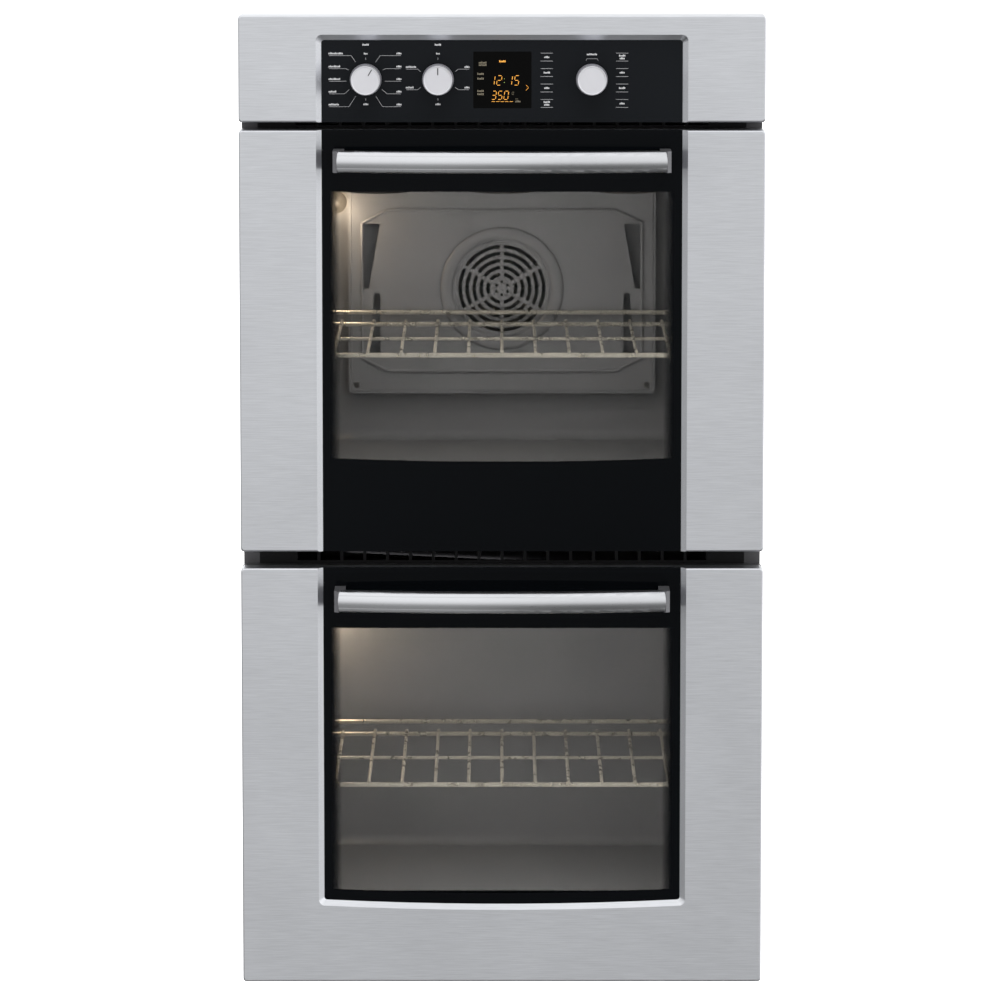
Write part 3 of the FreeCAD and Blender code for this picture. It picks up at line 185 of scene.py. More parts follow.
# %% [markdown]
# ## Finishes
# No surface on a real oven is one flat colour. Sheet steel is brushed in long fine lines, zinc
# coating shows crystals, enamel has a faint orange-peel, and dust settles on what faces up. The
# effects that several materials share are node groups, built once. A group gives out only masks,
# values and normals; the Principled shader stays in each material. All of them read Object
# coordinates: every piece sits at the origin, so those are metres in the oven's own frame, and a
# pattern stays put when a door swings.

# %% A helper that builds a node group
def node_group(name, inputs, outputs):
    """An empty group with named sockets, and its input and output nodes."""
    group = bpy.data.node_groups.new(name, "ShaderNodeTree")
    for label, kind, value in inputs:
        socket = group.interface.new_socket(name=label, in_out="INPUT", socket_type="NodeSocket" + kind)
        socket.default_value = value
    for label, kind in outputs:
        group.interface.new_socket(name=label, in_out="OUTPUT", socket_type="NodeSocket" + kind)
    return group, group.nodes.new("NodeGroupInput"), group.nodes.new("NodeGroupOutput")


def add(tree, kind, **settings):
    """A node with its plain settings; a value named in_NAME goes to the input socket NAME."""
    node = tree.nodes.new("ShaderNode" + kind)
    for key, value in settings.items():
        if key.startswith("in_"):
            node.inputs[key[3:].replace("_", " ")].default_value = value
        else:
            setattr(node, key, value)
    return node


def maths(tree, operation, first, second=None, clamp=False):
    """A Math node fed by sockets or plain numbers; returns its output."""
    node = add(tree, "Math", operation=operation, use_clamp=clamp)
    for i, value in enumerate((first, second)):
        if value is None:
            continue
        if isinstance(value, (int, float)):
            node.inputs[i].default_value = value
        else:
            tree.links.new(value, node.inputs[i])
    return node.outputs[0]


# %% Brushed grain: very long, very thin noise
def make_grain_group():
    group, given, result = node_group(
        "Brushed grain",
        [("Stretch", "Vector", (6.0, 700.0, 700.0)), ("Patch Size", "Float", 9.0)],
        [("Grain", "Float"), ("Patch", "Float")])
    place = add(group, "TexCoord")
    stretched = add(group, "VectorMath", operation="MULTIPLY")
    group.links.new(place.outputs["Object"], stretched.inputs[0])
    group.links.new(given.outputs["Stretch"], stretched.inputs[1])
    lines = add(group, "TexNoise", in_Scale=1.0, in_Detail=4.0, in_Roughness=0.65)
    group.links.new(stretched.outputs[0], lines.inputs["Vector"])
    patch = add(group, "TexNoise", in_Detail=2.0)
    group.links.new(place.outputs["Object"], patch.inputs["Vector"])
    group.links.new(given.outputs["Patch Size"], patch.inputs["Scale"])
    group.links.new(lines.outputs["Fac"], result.inputs["Grain"])
    group.links.new(patch.outputs["Fac"], result.inputs["Patch"])
    return group


GRAIN = make_grain_group()


# %% Mottle: a fine and a broad noise, for paint, enamel, casting and plastic
def make_mottle_group():
    group, given, result = node_group(
        "Mottle",
        [("Fine Size", "Float", 900.0), ("Broad Size", "Float", 14.0)],
        [("Fine", "Float"), ("Broad", "Float")])
    place = add(group, "TexCoord")
    for label in ("Fine", "Broad"):
        noise = add(group, "TexNoise", in_Detail=3.0)
        group.links.new(place.outputs["Object"], noise.inputs["Vector"])
        group.links.new(given.outputs[label + " Size"], noise.inputs["Scale"])
        group.links.new(noise.outputs["Fac"], result.inputs[label])
    return group


MOTTLE = make_mottle_group()


# %% Dust: settles on what faces up, in soft patches
def make_dust_group():
    group, given, result = node_group(
        "Dust", [("Amount", "Float", 0.3)], [("Mask", "Float")])
    place = add(group, "TexCoord")
    up = add(group, "SeparateXYZ")
    group.links.new(place.outputs["Normal"], up.inputs[0])
    noise = add(group, "TexNoise", in_Scale=35.0, in_Detail=6.0)
    group.links.new(place.outputs["Object"], noise.inputs["Vector"])
    facing = maths(group, "MAXIMUM", up.outputs["Z"], 0.0)
    patchy = maths(group, "MULTIPLY", facing, noise.outputs["Fac"])
    amount = maths(group, "MULTIPLY", patchy, given.outputs["Amount"], clamp=True)
    group.links.new(amount, result.inputs["Mask"])
    return group


DUST = make_dust_group()
print("node groups:", [g.name for g in bpy.data.node_groups])


# %% The parts of a material that all of them share
def new_material(name, **constants):
    """A material with its Principled shader; plain numbers go straight on the shader."""
    material = bpy.data.materials.new(name)
    material.use_nodes = True
    tree = material.node_tree
    shader = tree.nodes["Principled BSDF"]
    for key, value in constants.items():
        shader.inputs[key.replace("_", " ")].default_value = value
    return material, tree, shader


def use_group(tree, group, **values):
    node = add(tree, "Group", node_tree=group)
    for key, value in values.items():
        node.inputs[key.replace("_", " ")].default_value = value
    return node


def between(tree, factor, dark, light, socket):
    """Mix two colours by a factor into a colour socket."""
    ramp = add(tree, "ValToRGB")
    ramp.color_ramp.elements[0].color = (*dark, 1)
    ramp.color_ramp.elements[1].color = (*light, 1)
    ramp.color_ramp.elements[0].position = 0.3
    ramp.color_ramp.elements[1].position = 0.7
    tree.links.new(factor, ramp.inputs[0])
    if socket:
        tree.links.new(ramp.outputs[0], socket)
    return ramp.outputs[0]


def spread(tree, factor, low, high, socket):
    """Map a 0 to 1 value to a range, into a socket."""
    node = add(tree, "MapRange", in_To_Min=low, in_To_Max=high)
    tree.links.new(factor, node.inputs["Value"])
    tree.links.new(node.outputs[0], socket)


def bumped(tree, height, shader, strength, distance=0.0002):
    bump = add(tree, "Bump", in_Strength=strength, in_Distance=distance)
    tree.links.new(height, bump.inputs["Height"])
    tree.links.new(bump.outputs[0], shader.inputs["Normal"])


def shade(colour, factor):
    return tuple(c * factor for c in colour)


# %% [markdown]
# ### Brushed steel
# The lines run across the oven, so the noise is stretched along X and is very fine along Z. The
# grain drives the colour a little, the roughness more, and a shallow bump. A broad, faint patch
# noise breaks up the large faces, as rolled sheet does.

# %% Brushed steel for the faces and the handles
def brushed_steel(name, colour, roughness, stretch, contrast=0.06, bump=0.12):
    material, tree, shader = new_material(name, Metallic=1.0)
    grain = use_group(tree, GRAIN, Stretch=stretch, Patch_Size=7.0)
    mixed = maths(tree, "ADD", maths(tree, "MULTIPLY", grain.outputs["Grain"], 0.75),
                  maths(tree, "MULTIPLY", grain.outputs["Patch"], 0.25))
    between(tree, mixed, shade(colour, 1 - contrast), shade(colour, 1 + contrast),
            shader.inputs["Base Color"])
    spread(tree, grain.outputs["Grain"], roughness - 0.08, roughness + 0.08, shader.inputs["Roughness"])
    bumped(tree, grain.outputs["Grain"], shader, bump, 0.00005)
    return material


STEEL = brushed_steel("brushed steel", (0.660, 0.675, 0.705), 0.34, (26, 800, 800), 0.11)
HANDLE_STEEL = brushed_steel("handle steel", (0.62, 0.63, 0.65), 0.30, (18, 1800, 1800), 0.06, 0.01)


# %% [markdown]
# ### Plain painted, cast, moulded and enamelled surfaces
# These differ only in numbers, so one function makes them all. Each still has a fine texture in
# its bump, broad variation in its colour and roughness, and, where asked, a little dust on top.

# %% One recipe for the simple finishes
def coated(name, colour, roughness, metallic=0.0, variation=0.08, fine=900.0, broad=14.0,
           bump=0.1, dust=0.0, **constants):
    material, tree, shader = new_material(name, Metallic=metallic, **constants)
    mottle = use_group(tree, MOTTLE, Fine_Size=fine, Broad_Size=broad)
    tint = between(tree, mottle.outputs["Broad"], shade(colour, 1 - variation),
                   shade(colour, 1 + variation), None)
    if dust:
        settled = use_group(tree, DUST, Amount=dust)
        mix = add(tree, "Mix", data_type="RGBA")
        mix.inputs["B"].default_value = (0.45, 0.43, 0.40, 1)
        tree.links.new(settled.outputs["Mask"], mix.inputs["Factor"])
        tree.links.new(tint, mix.inputs["A"])
        tint = mix.outputs["Result"]
    tree.links.new(tint, shader.inputs["Base Color"])
    spread(tree, mottle.outputs["Broad"], roughness * 0.85, roughness * 1.15, shader.inputs["Roughness"])
    bumped(tree, mottle.outputs["Fine"], shader, bump)
    return material


ENAMEL = coated("oven enamel", (0.165, 0.164, 0.163), 0.36, variation=0.05, fine=500.0, bump=0.05)
LINER_ENAMEL = coated("door liner enamel", (0.045, 0.045, 0.048), 0.30, fine=450.0, bump=0.06)
# Black paint for the frame, louvres and pane carriers; on the inner shelves the same black is painted
# shade.
BLACK_PAINT_AND_SHADE = coated("black paint and painted shade", (0.005, 0.005, 0.0055), 0.5, Specular_IOR_Level=0.15)
TRIM_GREY = coated("grey trim paint", (0.045, 0.045, 0.048), 0.5)
# The handle ends are grey metal, darkened further as painted shade for the shadow round them.
HANDLE_END_GREY_AND_SHADE = coated("handle end grey and painted shade", (0.17, 0.17, 0.18), 0.42, metallic=0.8, fine=1600.0)
ZINC = coated("zinc plate", (0.55, 0.55, 0.52), 0.35, metallic=1.0, variation=0.15, dust=0.2)
HEATER = coated("heater sheath", (0.075, 0.066, 0.060), 0.45, metallic=0.7, variation=0.25, broad=40.0)
BLACK_PLASTIC = coated("black plastic", (0.018, 0.018, 0.019), 0.55, fine=1200.0, bump=0.2)
NICKEL = coated("nickel wire", (0.80, 0.75, 0.63), 0.28, metallic=0.80, variation=0.10, broad=60.0)

print("simple finishes are made")


# %% [markdown]
# ### Galvanised sheet
# The hidden body is hot-dip zinc, whose crystals show as flat patches of slightly different grey.
# A Voronoi texture gives one random colour to each cell, which is just what the spangle looks like.

# %% Galvanised steel
def galvanised():
    material, tree, shader = new_material("galvanised sheet", Metallic=0.9)
    place = add(tree, "TexCoord")
    cells = add(tree, "TexVoronoi", in_Scale=190.0, in_Randomness=1.0)
    tree.links.new(place.outputs["Object"], cells.inputs["Vector"])
    grey = add(tree, "SeparateColor")
    tree.links.new(cells.outputs["Color"], grey.inputs[0])
    between(tree, grey.outputs[0], (0.48, 0.49, 0.51), (0.54, 0.55, 0.57), shader.inputs["Base Color"])
    spread(tree, grey.outputs[1], 0.34, 0.52, shader.inputs["Roughness"])
    mottle = use_group(tree, MOTTLE)
    bumped(tree, mottle.outputs["Fine"], shader, 0.05)
    return material


GALVANISED = galvanised()


# %% [markdown]
# ### Fibre blanket and braided gasket
# Mineral fibre is a matted fluff: two noises, one fine and one coarse, push the surface about.
# The gasket is a woven glass tube, so two crossing waves make its plait.

# %% Soft materials
def woven(name, dark, light, fine, coarse, strength):
    material, tree, shader = new_material(name, Roughness=0.95)
    place = add(tree, "TexCoord")
    waves = []
    for direction, scale in (("DIAGONAL", fine), ("Z", coarse)):
        wave = add(tree, "TexWave", bands_direction=direction, in_Scale=scale, in_Distortion=1.5)
        tree.links.new(place.outputs["Object"], wave.inputs["Vector"])
        waves.append(wave.outputs["Fac"])
    plait = maths(tree, "MULTIPLY", *waves)
    between(tree, plait, dark, light, shader.inputs["Base Color"])
    bumped(tree, plait, shader, strength, 0.001)
    return material


BRAID = woven("braided gasket", (0.05, 0.05, 0.05), (0.20, 0.20, 0.19), 190.0, 240.0, 0.8)
FIBRE = woven("mineral fibre", (0.50, 0.46, 0.33), (0.75, 0.70, 0.52), 45.0, 60.0, 0.7)

# %% [markdown]
# ### Black glass with a clear window
# The glass in each door is clear sheet with black ceramic paint fired on its back. The paint stops
# round a window, and at the window's two sides it fades out in dots too small to see. A node group
# works out the window's mask from its height and width, and the mask drives the Alpha of one
# Principled shader: fully opaque paint outside, and smoked glass inside.

# %% The mask of one window
def make_window_group():
    group, given, result = node_group(
        "Window",
        [("Half Width", "Float", 0.222), ("Bottom", "Float", 0.1), ("Top", "Float", 0.4),
         ("Bow", "Float", 0.0046), ("Fade", "Float", 0.014)],
        [("Mask", "Float")])
    place = add(group, "TexCoord")
    at = add(group, "SeparateXYZ")
    group.links.new(place.outputs["Object"], at.inputs[0])
    across = maths(group, "ABSOLUTE", at.outputs["X"])

    def step(value, edge, softness):
        """0 below the edge and 1 above it, over a short distance."""
        gap = maths(group, "SUBTRACT", value, edge)
        scaled = maths(group, "DIVIDE", gap, softness)
        return maths(group, "ADD", scaled, 0.5, clamp=True)

    sides = step(given.outputs["Half Width"], across, given.outputs["Fade"])
    top = step(given.outputs["Top"], at.outputs["Z"], 0.0008)
    ratio = maths(group, "DIVIDE", across, given.outputs["Half Width"])
    rise = maths(group, "MULTIPLY", maths(group, "MULTIPLY", ratio, ratio), given.outputs["Bow"])
    sill = maths(group, "ADD", rise, given.outputs["Bottom"])
    bottom = step(at.outputs["Z"], sill, 0.0008)
    upright = maths(group, "MULTIPLY", top, bottom)
    group.links.new(maths(group, "MULTIPLY", upright, sides), result.inputs["Mask"])
    return group


WINDOW = make_window_group()
WINDOW_HALF = 0.2165
WINDOW_HEIGHTS = {"upper": (0.6905, 1.0425), "lower": (0.1205, 0.4722)}


# %% The two painted glasses
def painted_glass(name, colour, windows, smoke=0.30):
    material, tree, shader = new_material(
        name, Roughness=0.045, Specular_IOR_Level=0.045, IOR=1.5)
    mottle = use_group(tree, MOTTLE, Fine_Size=60.0, Broad_Size=3.0)
    between(tree, mottle.outputs["Broad"], shade(colour, 0.9), shade(colour, 1.1),
            shader.inputs["Base Color"])
    spread(tree, mottle.outputs["Fine"], 0.035, 0.055, shader.inputs["Roughness"])
    if windows:
        masks = []
        for low, high in windows:
            window = use_group(tree, WINDOW, Half_Width=WINDOW_HALF, Bottom=low, Top=high)
            masks.append(window.outputs["Mask"])
        clear = maths(tree, "ADD", *masks, clamp=True)
        hidden = maths(tree, "MULTIPLY", clear, smoke - 1.0)
        tree.links.new(maths(tree, "ADD", hidden, 1.0), shader.inputs["Alpha"])
        material.surface_render_method = "BLENDED"
    return material


DOOR_GLASS = painted_glass("door glass", (0.0011, 0.0014, 0.0018), WINDOW_HEIGHTS.values())
PANEL_GLASS = painted_glass("control panel glass", (0.0042, 0.0048, 0.0057), ())
CLEAR_PANE, tree, shader = new_material(
    "clear pane", Roughness=0.02, Alpha=0.10, Specular_IOR_Level=0.3)
pane_mottle = use_group(tree, MOTTLE, Fine_Size=40.0, Broad_Size=4.0)
between(tree, pane_mottle.outputs["Broad"], (0.010, 0.012, 0.011), (0.016, 0.018, 0.017),
        shader.inputs["Base Color"])
CLEAR_PANE.surface_render_method = "BLENDED"

# %% Lit lamp lens, circuit board and satin metal
LAMP_GLASS, tree, shader = new_material("lamp glass", Roughness=0.25, Emission_Strength=0.05)
lamp_mottle = use_group(tree, MOTTLE, Fine_Size=300.0, Broad_Size=40.0)
between(tree, lamp_mottle.outputs["Broad"], (1.0, 0.78, 0.48), (1.0, 0.86, 0.62),
        shader.inputs["Emission Color"])
shader.inputs["Base Color"].default_value = (0.22, 0.20, 0.17, 1)
BOARD = coated("circuit board", (0.015, 0.075, 0.03), 0.35, variation=0.25, broad=180.0)
SATIN = coated("satin alloy", (0.62, 0.62, 0.65), 0.36, metallic=0.85, fine=2000.0, variation=0.03)
KNOB_SKIRT = coated("knob skirt", (0.13, 0.13, 0.145), 0.4, metallic=0.4, fine=1500.0)


# %% [markdown]
# ## Studio, camera and light
# The oven is shown from straight ahead and a little above, from far away, on pure white. The
# floor is a plain white sheet. A low plinth stands where the cabinet shelf would be, so that the
# lower door has room to swing down.

# %% Camera
LOOK_AT = Vector((-0.0026, FACE_Y, 0.6415))
DISTANCE = 7.8
ELEVATION = math.radians(7.6)
VIEW_WIDTH = 1.3000
camera_data = bpy.data.cameras.new("camera")
camera_data.lens = camera_data.sensor_width * DISTANCE / VIEW_WIDTH
camera_data.clip_end = 100.0
camera = bpy.data.objects.new("camera", camera_data)
camera.location = LOOK_AT + Vector((0, -math.cos(ELEVATION), math.sin(ELEVATION))) * DISTANCE
camera.rotation_euler = (math.radians(90) - ELEVATION, 0, 0)
bpy.context.collection.objects.link(camera)
bpy.context.scene.camera = camera
bpy.context.scene.view_settings.view_transform = "Standard"
print("lens", round(camera_data.lens, 1), "mm")

# %% Floor and plinth
FLOOR_Z = -0.20
WHITE, tree, shader = new_material("studio white", Roughness=0.8, Emission_Strength=0.75)
white_mottle = use_group(tree, MOTTLE, Fine_Size=40.0, Broad_Size=2.0)
between(tree, white_mottle.outputs["Broad"], (0.90, 0.90, 0.90), (0.93, 0.93, 0.93),
        shader.inputs["Base Color"])
shader.inputs["Emission Color"].default_value = (1, 1, 1, 1)

bpy.ops.object.select_all(action="DESELECT")
bpy.ops.mesh.primitive_plane_add(size=60, location=(0, 0, FLOOR_Z))
floor = fresh("studio_floor")
low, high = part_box("base_tray")
PLINTH_IN = 0.02
plinth = block("studio_plinth", (low.x + PLINTH_IN, low.y + PLINTH_IN, FLOOR_Z),
               (high.x - PLINTH_IN, high.y, low.z - 0.001))
bevel_edges(plinth, lambda a, b: True, 0.004)
for prop in (floor, plinth):
    prop.data.materials.append(WHITE)
    prop.visible_glossy = False


# %% [markdown]
# The sky is white where the camera sees it, and a soft studio where the oven reflects it: bright
# above and dark below. Close to the middle it is brighter on the left, which the flat faces mirror;
# far out it is brighter on the right, which only the bevelled edges mirror.

# %% Sky
world = bpy.data.worlds.new("studio sky")
bpy.context.scene.world = world
world.use_nodes = True
sky = world.node_tree
backdrop = sky.nodes["Background"]
place = add(sky, "TexCoord")
toward = add(sky, "SeparateXYZ")
sky.links.new(place.outputs["Generated"], toward.inputs[0])
rise = maths(sky, "MULTIPLY", maths(sky, "ADD", toward.outputs["Z"], 0.14), 5.0)
height = maths(sky, "MULTIPLY", maths(sky, "TANH", rise), 0.50)


def across_sky(steepness, amount):
    """A soft step in brightness from left to right."""
    steep = maths(sky, "MULTIPLY", toward.outputs["X"], steepness)
    return maths(sky, "MULTIPLY", maths(sky, "TANH", steep), amount)


SKY_LEVEL = 0.73
SKY_FLOOR = 0.04
side = maths(sky, "ADD", across_sky(9.0, -0.36), across_sky(1.3, 0.75))
glow = maths(sky, "ADD", maths(sky, "ADD", height, side), SKY_LEVEL)
glow = maths(sky, "MAXIMUM", glow, SKY_FLOOR)
seen = add(sky, "LightPath")
white = maths(sky, "MAXIMUM", glow, seen.outputs["Is Camera Ray"])
sky.links.new(white, backdrop.inputs["Color"])
backdrop.inputs["Strength"].default_value = 1.0


# %% Soft lamps in the studio, and one small lamp in each oven
def area_lamp(name, place, target, size, power, colour=(1, 1, 1)):
    data = bpy.data.lights.new(name, "AREA")
    data.shape = "RECTANGLE"
    data.size, data.size_y = size
    data.energy = power
    data.color = colour
    lamp = bpy.data.objects.new(name, data)
    lamp.location = place
    lamp.rotation_euler = (Vector(target) - Vector(place)).to_track_quat("-Z", "Y").to_euler()
    bpy.context.collection.objects.link(lamp)
    return lamp


MIDDLE = (0, 0, 0.65)
SOFTBOXES = (area_lamp("overhead_softbox", (0.2, -1.2, 3.2), MIDDLE, (2.4, 1.6), 60),
             area_lamp("left_softbox", (-3.2, -2.6, 1.6), MIDDLE, (1.6, 2.4), 40),
             area_lamp("right_softbox", (3.0, -2.2, 1.8), MIDDLE, (1.6, 2.4), 30))
for softbox in SOFTBOXES:
    softbox.visible_glossy = False



def unseen(lamp):
    """Let a lamp light things without being seen or mirrored itself."""
    lamp.visible_camera = False
    lamp.visible_glossy = False


LAMP_INSET = Vector((-0.225, -0.075, -0.085))
for door in DOORS:
    low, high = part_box(door + "_cavity")
    mid_z = (low.z + high.z) / 2
    data = bpy.data.lights.new(door + "_oven_light", "POINT")
    data.energy = 0.9
    data.shadow_soft_size = 0.02
    data.color = (1.0, 0.80, 0.58)
    lamp = bpy.data.objects.new(door + "_oven_light", data)
    lamp.location = Vector((0, high.y, high.z)) + LAMP_INSET
    bpy.context.collection.objects.link(lamp)
    unseen(area_lamp(door + "_oven_wash", (0.02, low.y + 0.004, mid_z), (0.0, high.y, mid_z),
                     (0.46, 0.32), 2.9, (1.0, 0.99, 0.98)))
    unseen(area_lamp(door + "_oven_ceiling", (-0.06, low.y + 0.16, high.z - 0.012),
                     (0.03, high.y - 0.05, low.z), (0.36, 0.20), 2.8, (1.0, 0.98, 0.96)))
low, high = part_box("fan_baffle")
mid_z = (low.z + high.z) / 2
unseen(area_lamp("fan_chamber_light", (0, high.y + 0.004, mid_z), (0, high.y + 0.1, mid_z),
                 (0.40, 0.26), 0.5, (1.0, 0.98, 0.96)))

# %% [markdown]
# ## Print on the control panel
# The panel's legends are screen printed on the glass, as thin ink. Real words would be readable
# lettering, so each is replaced by a row of small strokes that reads as a word from a distance.
# One stroke is modelled, and copies of it, each with its own mesh, are placed along the row. The
# leader lines and the digits are drawn as curves with a small round bevel, then made meshes.

# %% Copies of a master, and lines drawn as curves
def copies(name, master, places):
    """Copies of a master at each (place, scale), joined into one object."""
    made = []
    for place, scale in places:
        copy = master.copy()
        copy.data = master.data.copy()
        copy.location = place
        copy.scale = scale
        bpy.context.collection.objects.link(copy)
        made.append(copy)
    bpy.data.objects.remove(master)
    whole = joined(name, made)
    bpy.ops.object.transform_apply(location=True, rotation=True, scale=True)
    return whole


def drawn(name, lines, radius, y):
    """Straight-sided lines on the glass, from lists of (x, z) points."""
    curve = bpy.data.curves.new(name, "CURVE")
    curve.dimensions = "3D"
    curve.bevel_depth = radius
    curve.bevel_resolution = 1
    curve.use_fill_caps = True
    for points in lines:
        spline = curve.splines.new("POLY")
        spline.points.add(len(points) - 1)
        for corner, (x, z) in zip(spline.points, points):
            corner.co = (x, y, z, 1)
    obj = bpy.data.objects.new(name, curve)
    bpy.context.collection.objects.link(obj)
    only(obj)
    bpy.ops.object.convert(target="MESH")
    return bpy.context.object


# %% Where the print goes
def middle(node):
    low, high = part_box(node)
    return (low + high) / 2


PRINT_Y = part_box("control_glass")[0][1] - 0.00005
KNOBS = {name: middle(name) for name in ("upper_mode_knob", "lower_mode_knob", "settings_knob")}
KNOB_Z = KNOBS["upper_mode_knob"].z
LETTER = 0.0019
LETTER_PITCH = 0.0017
TALL = (1.35, 1.0, 1.0, 1.25, 1.0, 1.3, 1.0)


def word(x, z, letters, align="middle", dim=1.0):
    """Places for the strokes of one word, whose left end, middle or right end is at x."""
    length = (letters - 1) * LETTER_PITCH
    start = {"left": x, "middle": x - length / 2, "right": x - length}[align]
    strokes = []
    for i in range(letters):
        rise = TALL[(i * 3 + letters) % len(TALL)] * dim
        place = (start + i * LETTER_PITCH, PRINT_Y, z + LETTER * (rise - 1) / 2)
        strokes.append((place, (0.0011, 0.00010, LETTER * rise)))
    return strokes


# %% Words and leader lines round the two mode knobs
words = []
leaders = []
for side, far, near in ((-1, 0.0472, 0.0184), (1, 0.0454, 0.0354)):
    centre = KNOBS["upper_mode_knob"].x
    rows = ((0.0308, 0.0186, 0.0128, 0.0224, 9), (0.0140, 0.0257, 0.0219, 0.0122, 7),
            (-0.0022, 0.0300, 0.0249, -0.0020, 7), (-0.0184, 0.0275, 0.0210, -0.0128, 4),
            (-0.0350, 0.0216, 0.0130, -0.0214, 6))
    for line_z, bend, end, end_z, letters in rows:
        z = KNOB_Z + line_z
        count = letters + 2 if side < 0 else 4
        words += word(centre + side * far, z + 0.0026, count, "left" if side < 0 else "right")
        leaders.append([(centre + side * far, z), (centre + side * bend, z),
                        (centre + side * end, KNOB_Z + end_z)])
    centre = KNOBS["lower_mode_knob"].x
    for line_z, end_z, letters in ((0.0134, 0.0100, 6), (-0.0131, -0.0100, 4)):
        z = KNOB_Z + line_z
        count = letters + 2 if side < 0 else 4
        start = 0.0407 if side < 0 else 0.0400
        words += word(centre + side * start, z + 0.0026, count, "left" if side < 0 else "right")
        leaders.append([(centre + side * start, z), (centre + side * 0.0262, z),
                        (centre + side * 0.0222, KNOB_Z + end_z)])
for name in ("upper_mode_knob", "lower_mode_knob"):
    centre = KNOBS[name].x
    words += word(centre, KNOB_Z + 0.0446, 5) + word(centre, KNOB_Z + 0.0332, 3)
    words += word(centre, KNOB_Z - 0.0321, 4)
    for z in (0.0269, -0.0256):
        leaders.append([(centre, KNOB_Z + z - 0.0014), (centre, KNOB_Z + z + 0.0014)])
centre = KNOBS["settings_knob"].x
words += word(centre, KNOB_Z + 0.0322, 8)
leaders.append([(centre - 0.0078, KNOB_Z + 0.0243), (centre - 0.0062, KNOB_Z + 0.0268),
                (centre + 0.0066, KNOB_Z + 0.0268), (centre + 0.0082, KNOB_Z + 0.0243)])

# %% Touch keys: a pair of lines with a word or two between
KEY_COLUMNS = (0.0577, 0.1548)
KEY_HALF = 0.0079
for column, x in enumerate(KEY_COLUMNS):
    for row in range(4):
        z = KNOB_Z + 0.0289 - row * 0.0199
        for edge in (-0.0051, 0.0051):
            leaders.append([(x - KEY_HALF, z + edge), (x + KEY_HALF, z + edge)])
        if (column, row) in ((0, 3), (1, 0)):
            words += word(x, z + 0.0016, 5) + word(x, z - 0.0019, 4)
        else:
            words += word(x, z - 0.0003, 4 + (column + row) % 2)


def ink(name, dark, light):
    material, tree, shader = new_material(name, Roughness=0.6)
    mottle = use_group(tree, MOTTLE, Fine_Size=2500.0, Broad_Size=40.0)
    between(tree, mottle.outputs["Fine"], dark, light, shader.inputs["Base Color"])
    return material


INK = ink("printed ink", (0.33, 0.33, 0.34), (0.44, 0.44, 0.45))
FINE_INK = ink("fine printed ink", (0.22, 0.22, 0.23), (0.31, 0.31, 0.32))
stroke = block("stroke", (-0.5, -0.5, -0.5), (0.5, 0.5, 0.5))
bevel_edges(stroke, lambda a, b: along(1, a, b), 0.18, 1)
finished(copies("panel_words", stroke, words), INK, "chassis")
finished(drawn("panel_leader_lines", leaders, 0.00024, PRINT_Y), FINE_INK, "chassis")


# %% [markdown]
# ### The display
# The clock shows through a smoked window in amber seven-segment digits that lean to the right.
# Each segment is a short stroke of the curve above, so that a slanted digit costs nothing more.

# %% Seven-segment digits
SEGMENTS = {
    "a": ((0, 1), (1, 1)), "b": ((1, 1), (1, 0.5)), "c": ((1, 0.5), (1, 0)), "d": ((0, 0), (1, 0)),
    "e": ((0, 0.5), (0, 0)), "f": ((0, 1), (0, 0.5)), "g": ((0, 0.5), (1, 0.5)),
}
DIGITS = {"0": "abcdef", "1": "bc", "2": "abged", "3": "abgcd", "5": "afgcd"}
LEAN = 0.14


def digit(character, x, z, width, height):
    """Lines of one digit's lit segments, each a little short so that the ends don't touch."""
    lines = []
    for segment in DIGITS[character]:
        (x0, z0), (x1, z1) = SEGMENTS[segment]
        trimmed = []
        for (u, v), (p, q) in (((x0, z0), (x1, z1)), ((x1, z1), (x0, z0))):
            u += (p - u) * 0.16
            v += (q - v) * 0.16
            trimmed.append((x + u * width + v * height * LEAN, z + v * height))
        lines.append(trimmed)
    return lines


low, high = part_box("display_module")
centre_x = (low.x + high.x) / 2
lit = []
for i, character in enumerate("12"):
    lit += digit(character, centre_x - 0.0165 + i * 0.0088, KNOB_Z - 0.0072, 0.0056, 0.0122)
for i, character in enumerate("15"):
    lit += digit(character, centre_x + 0.0060 + i * 0.0088, KNOB_Z - 0.0072, 0.0056, 0.0122)
for i, character in enumerate("350"):
    lit += digit(character, centre_x - 0.0142 + i * 0.0079, KNOB_Z - 0.0257, 0.0052, 0.0108)
BAR_PITCH = 0.0058
bars = [[(centre_x + start + i * BAR_PITCH, KNOB_Z - 0.0284) for start in (-0.0140, -0.0096)]
        for i in range(5)]
chevron = [[(centre_x + 0.0306, KNOB_Z - 0.0074), (centre_x + 0.0338, KNOB_Z - 0.0106),
            (centre_x + 0.0306, KNOB_Z - 0.0138)]]
colon = [[(centre_x + 0.0024, KNOB_Z + z), (centre_x + 0.0028, KNOB_Z + z + 0.0008)]
         for z in (-0.0040, 0.0006)]
dim = [digit("0", centre_x + 0.0122, KNOB_Z - 0.0195, 0.0020, 0.0035)[i] for i in range(6)]
dim += [[(centre_x + 0.0165, KNOB_Z - 0.0250), (centre_x + 0.0200, KNOB_Z - 0.0250)]]


def glowing(name, colour, strength):
    material, tree, shader = new_material(name, Roughness=0.5, Emission_Strength=strength)
    mottle = use_group(tree, MOTTLE, Fine_Size=900.0, Broad_Size=200.0)
    between(tree, mottle.outputs["Broad"], shade(colour, 0.92), colour, shader.inputs["Emission Color"])
    shader.inputs["Base Color"].default_value = (*shade(colour, 0.2), 1)
    return material


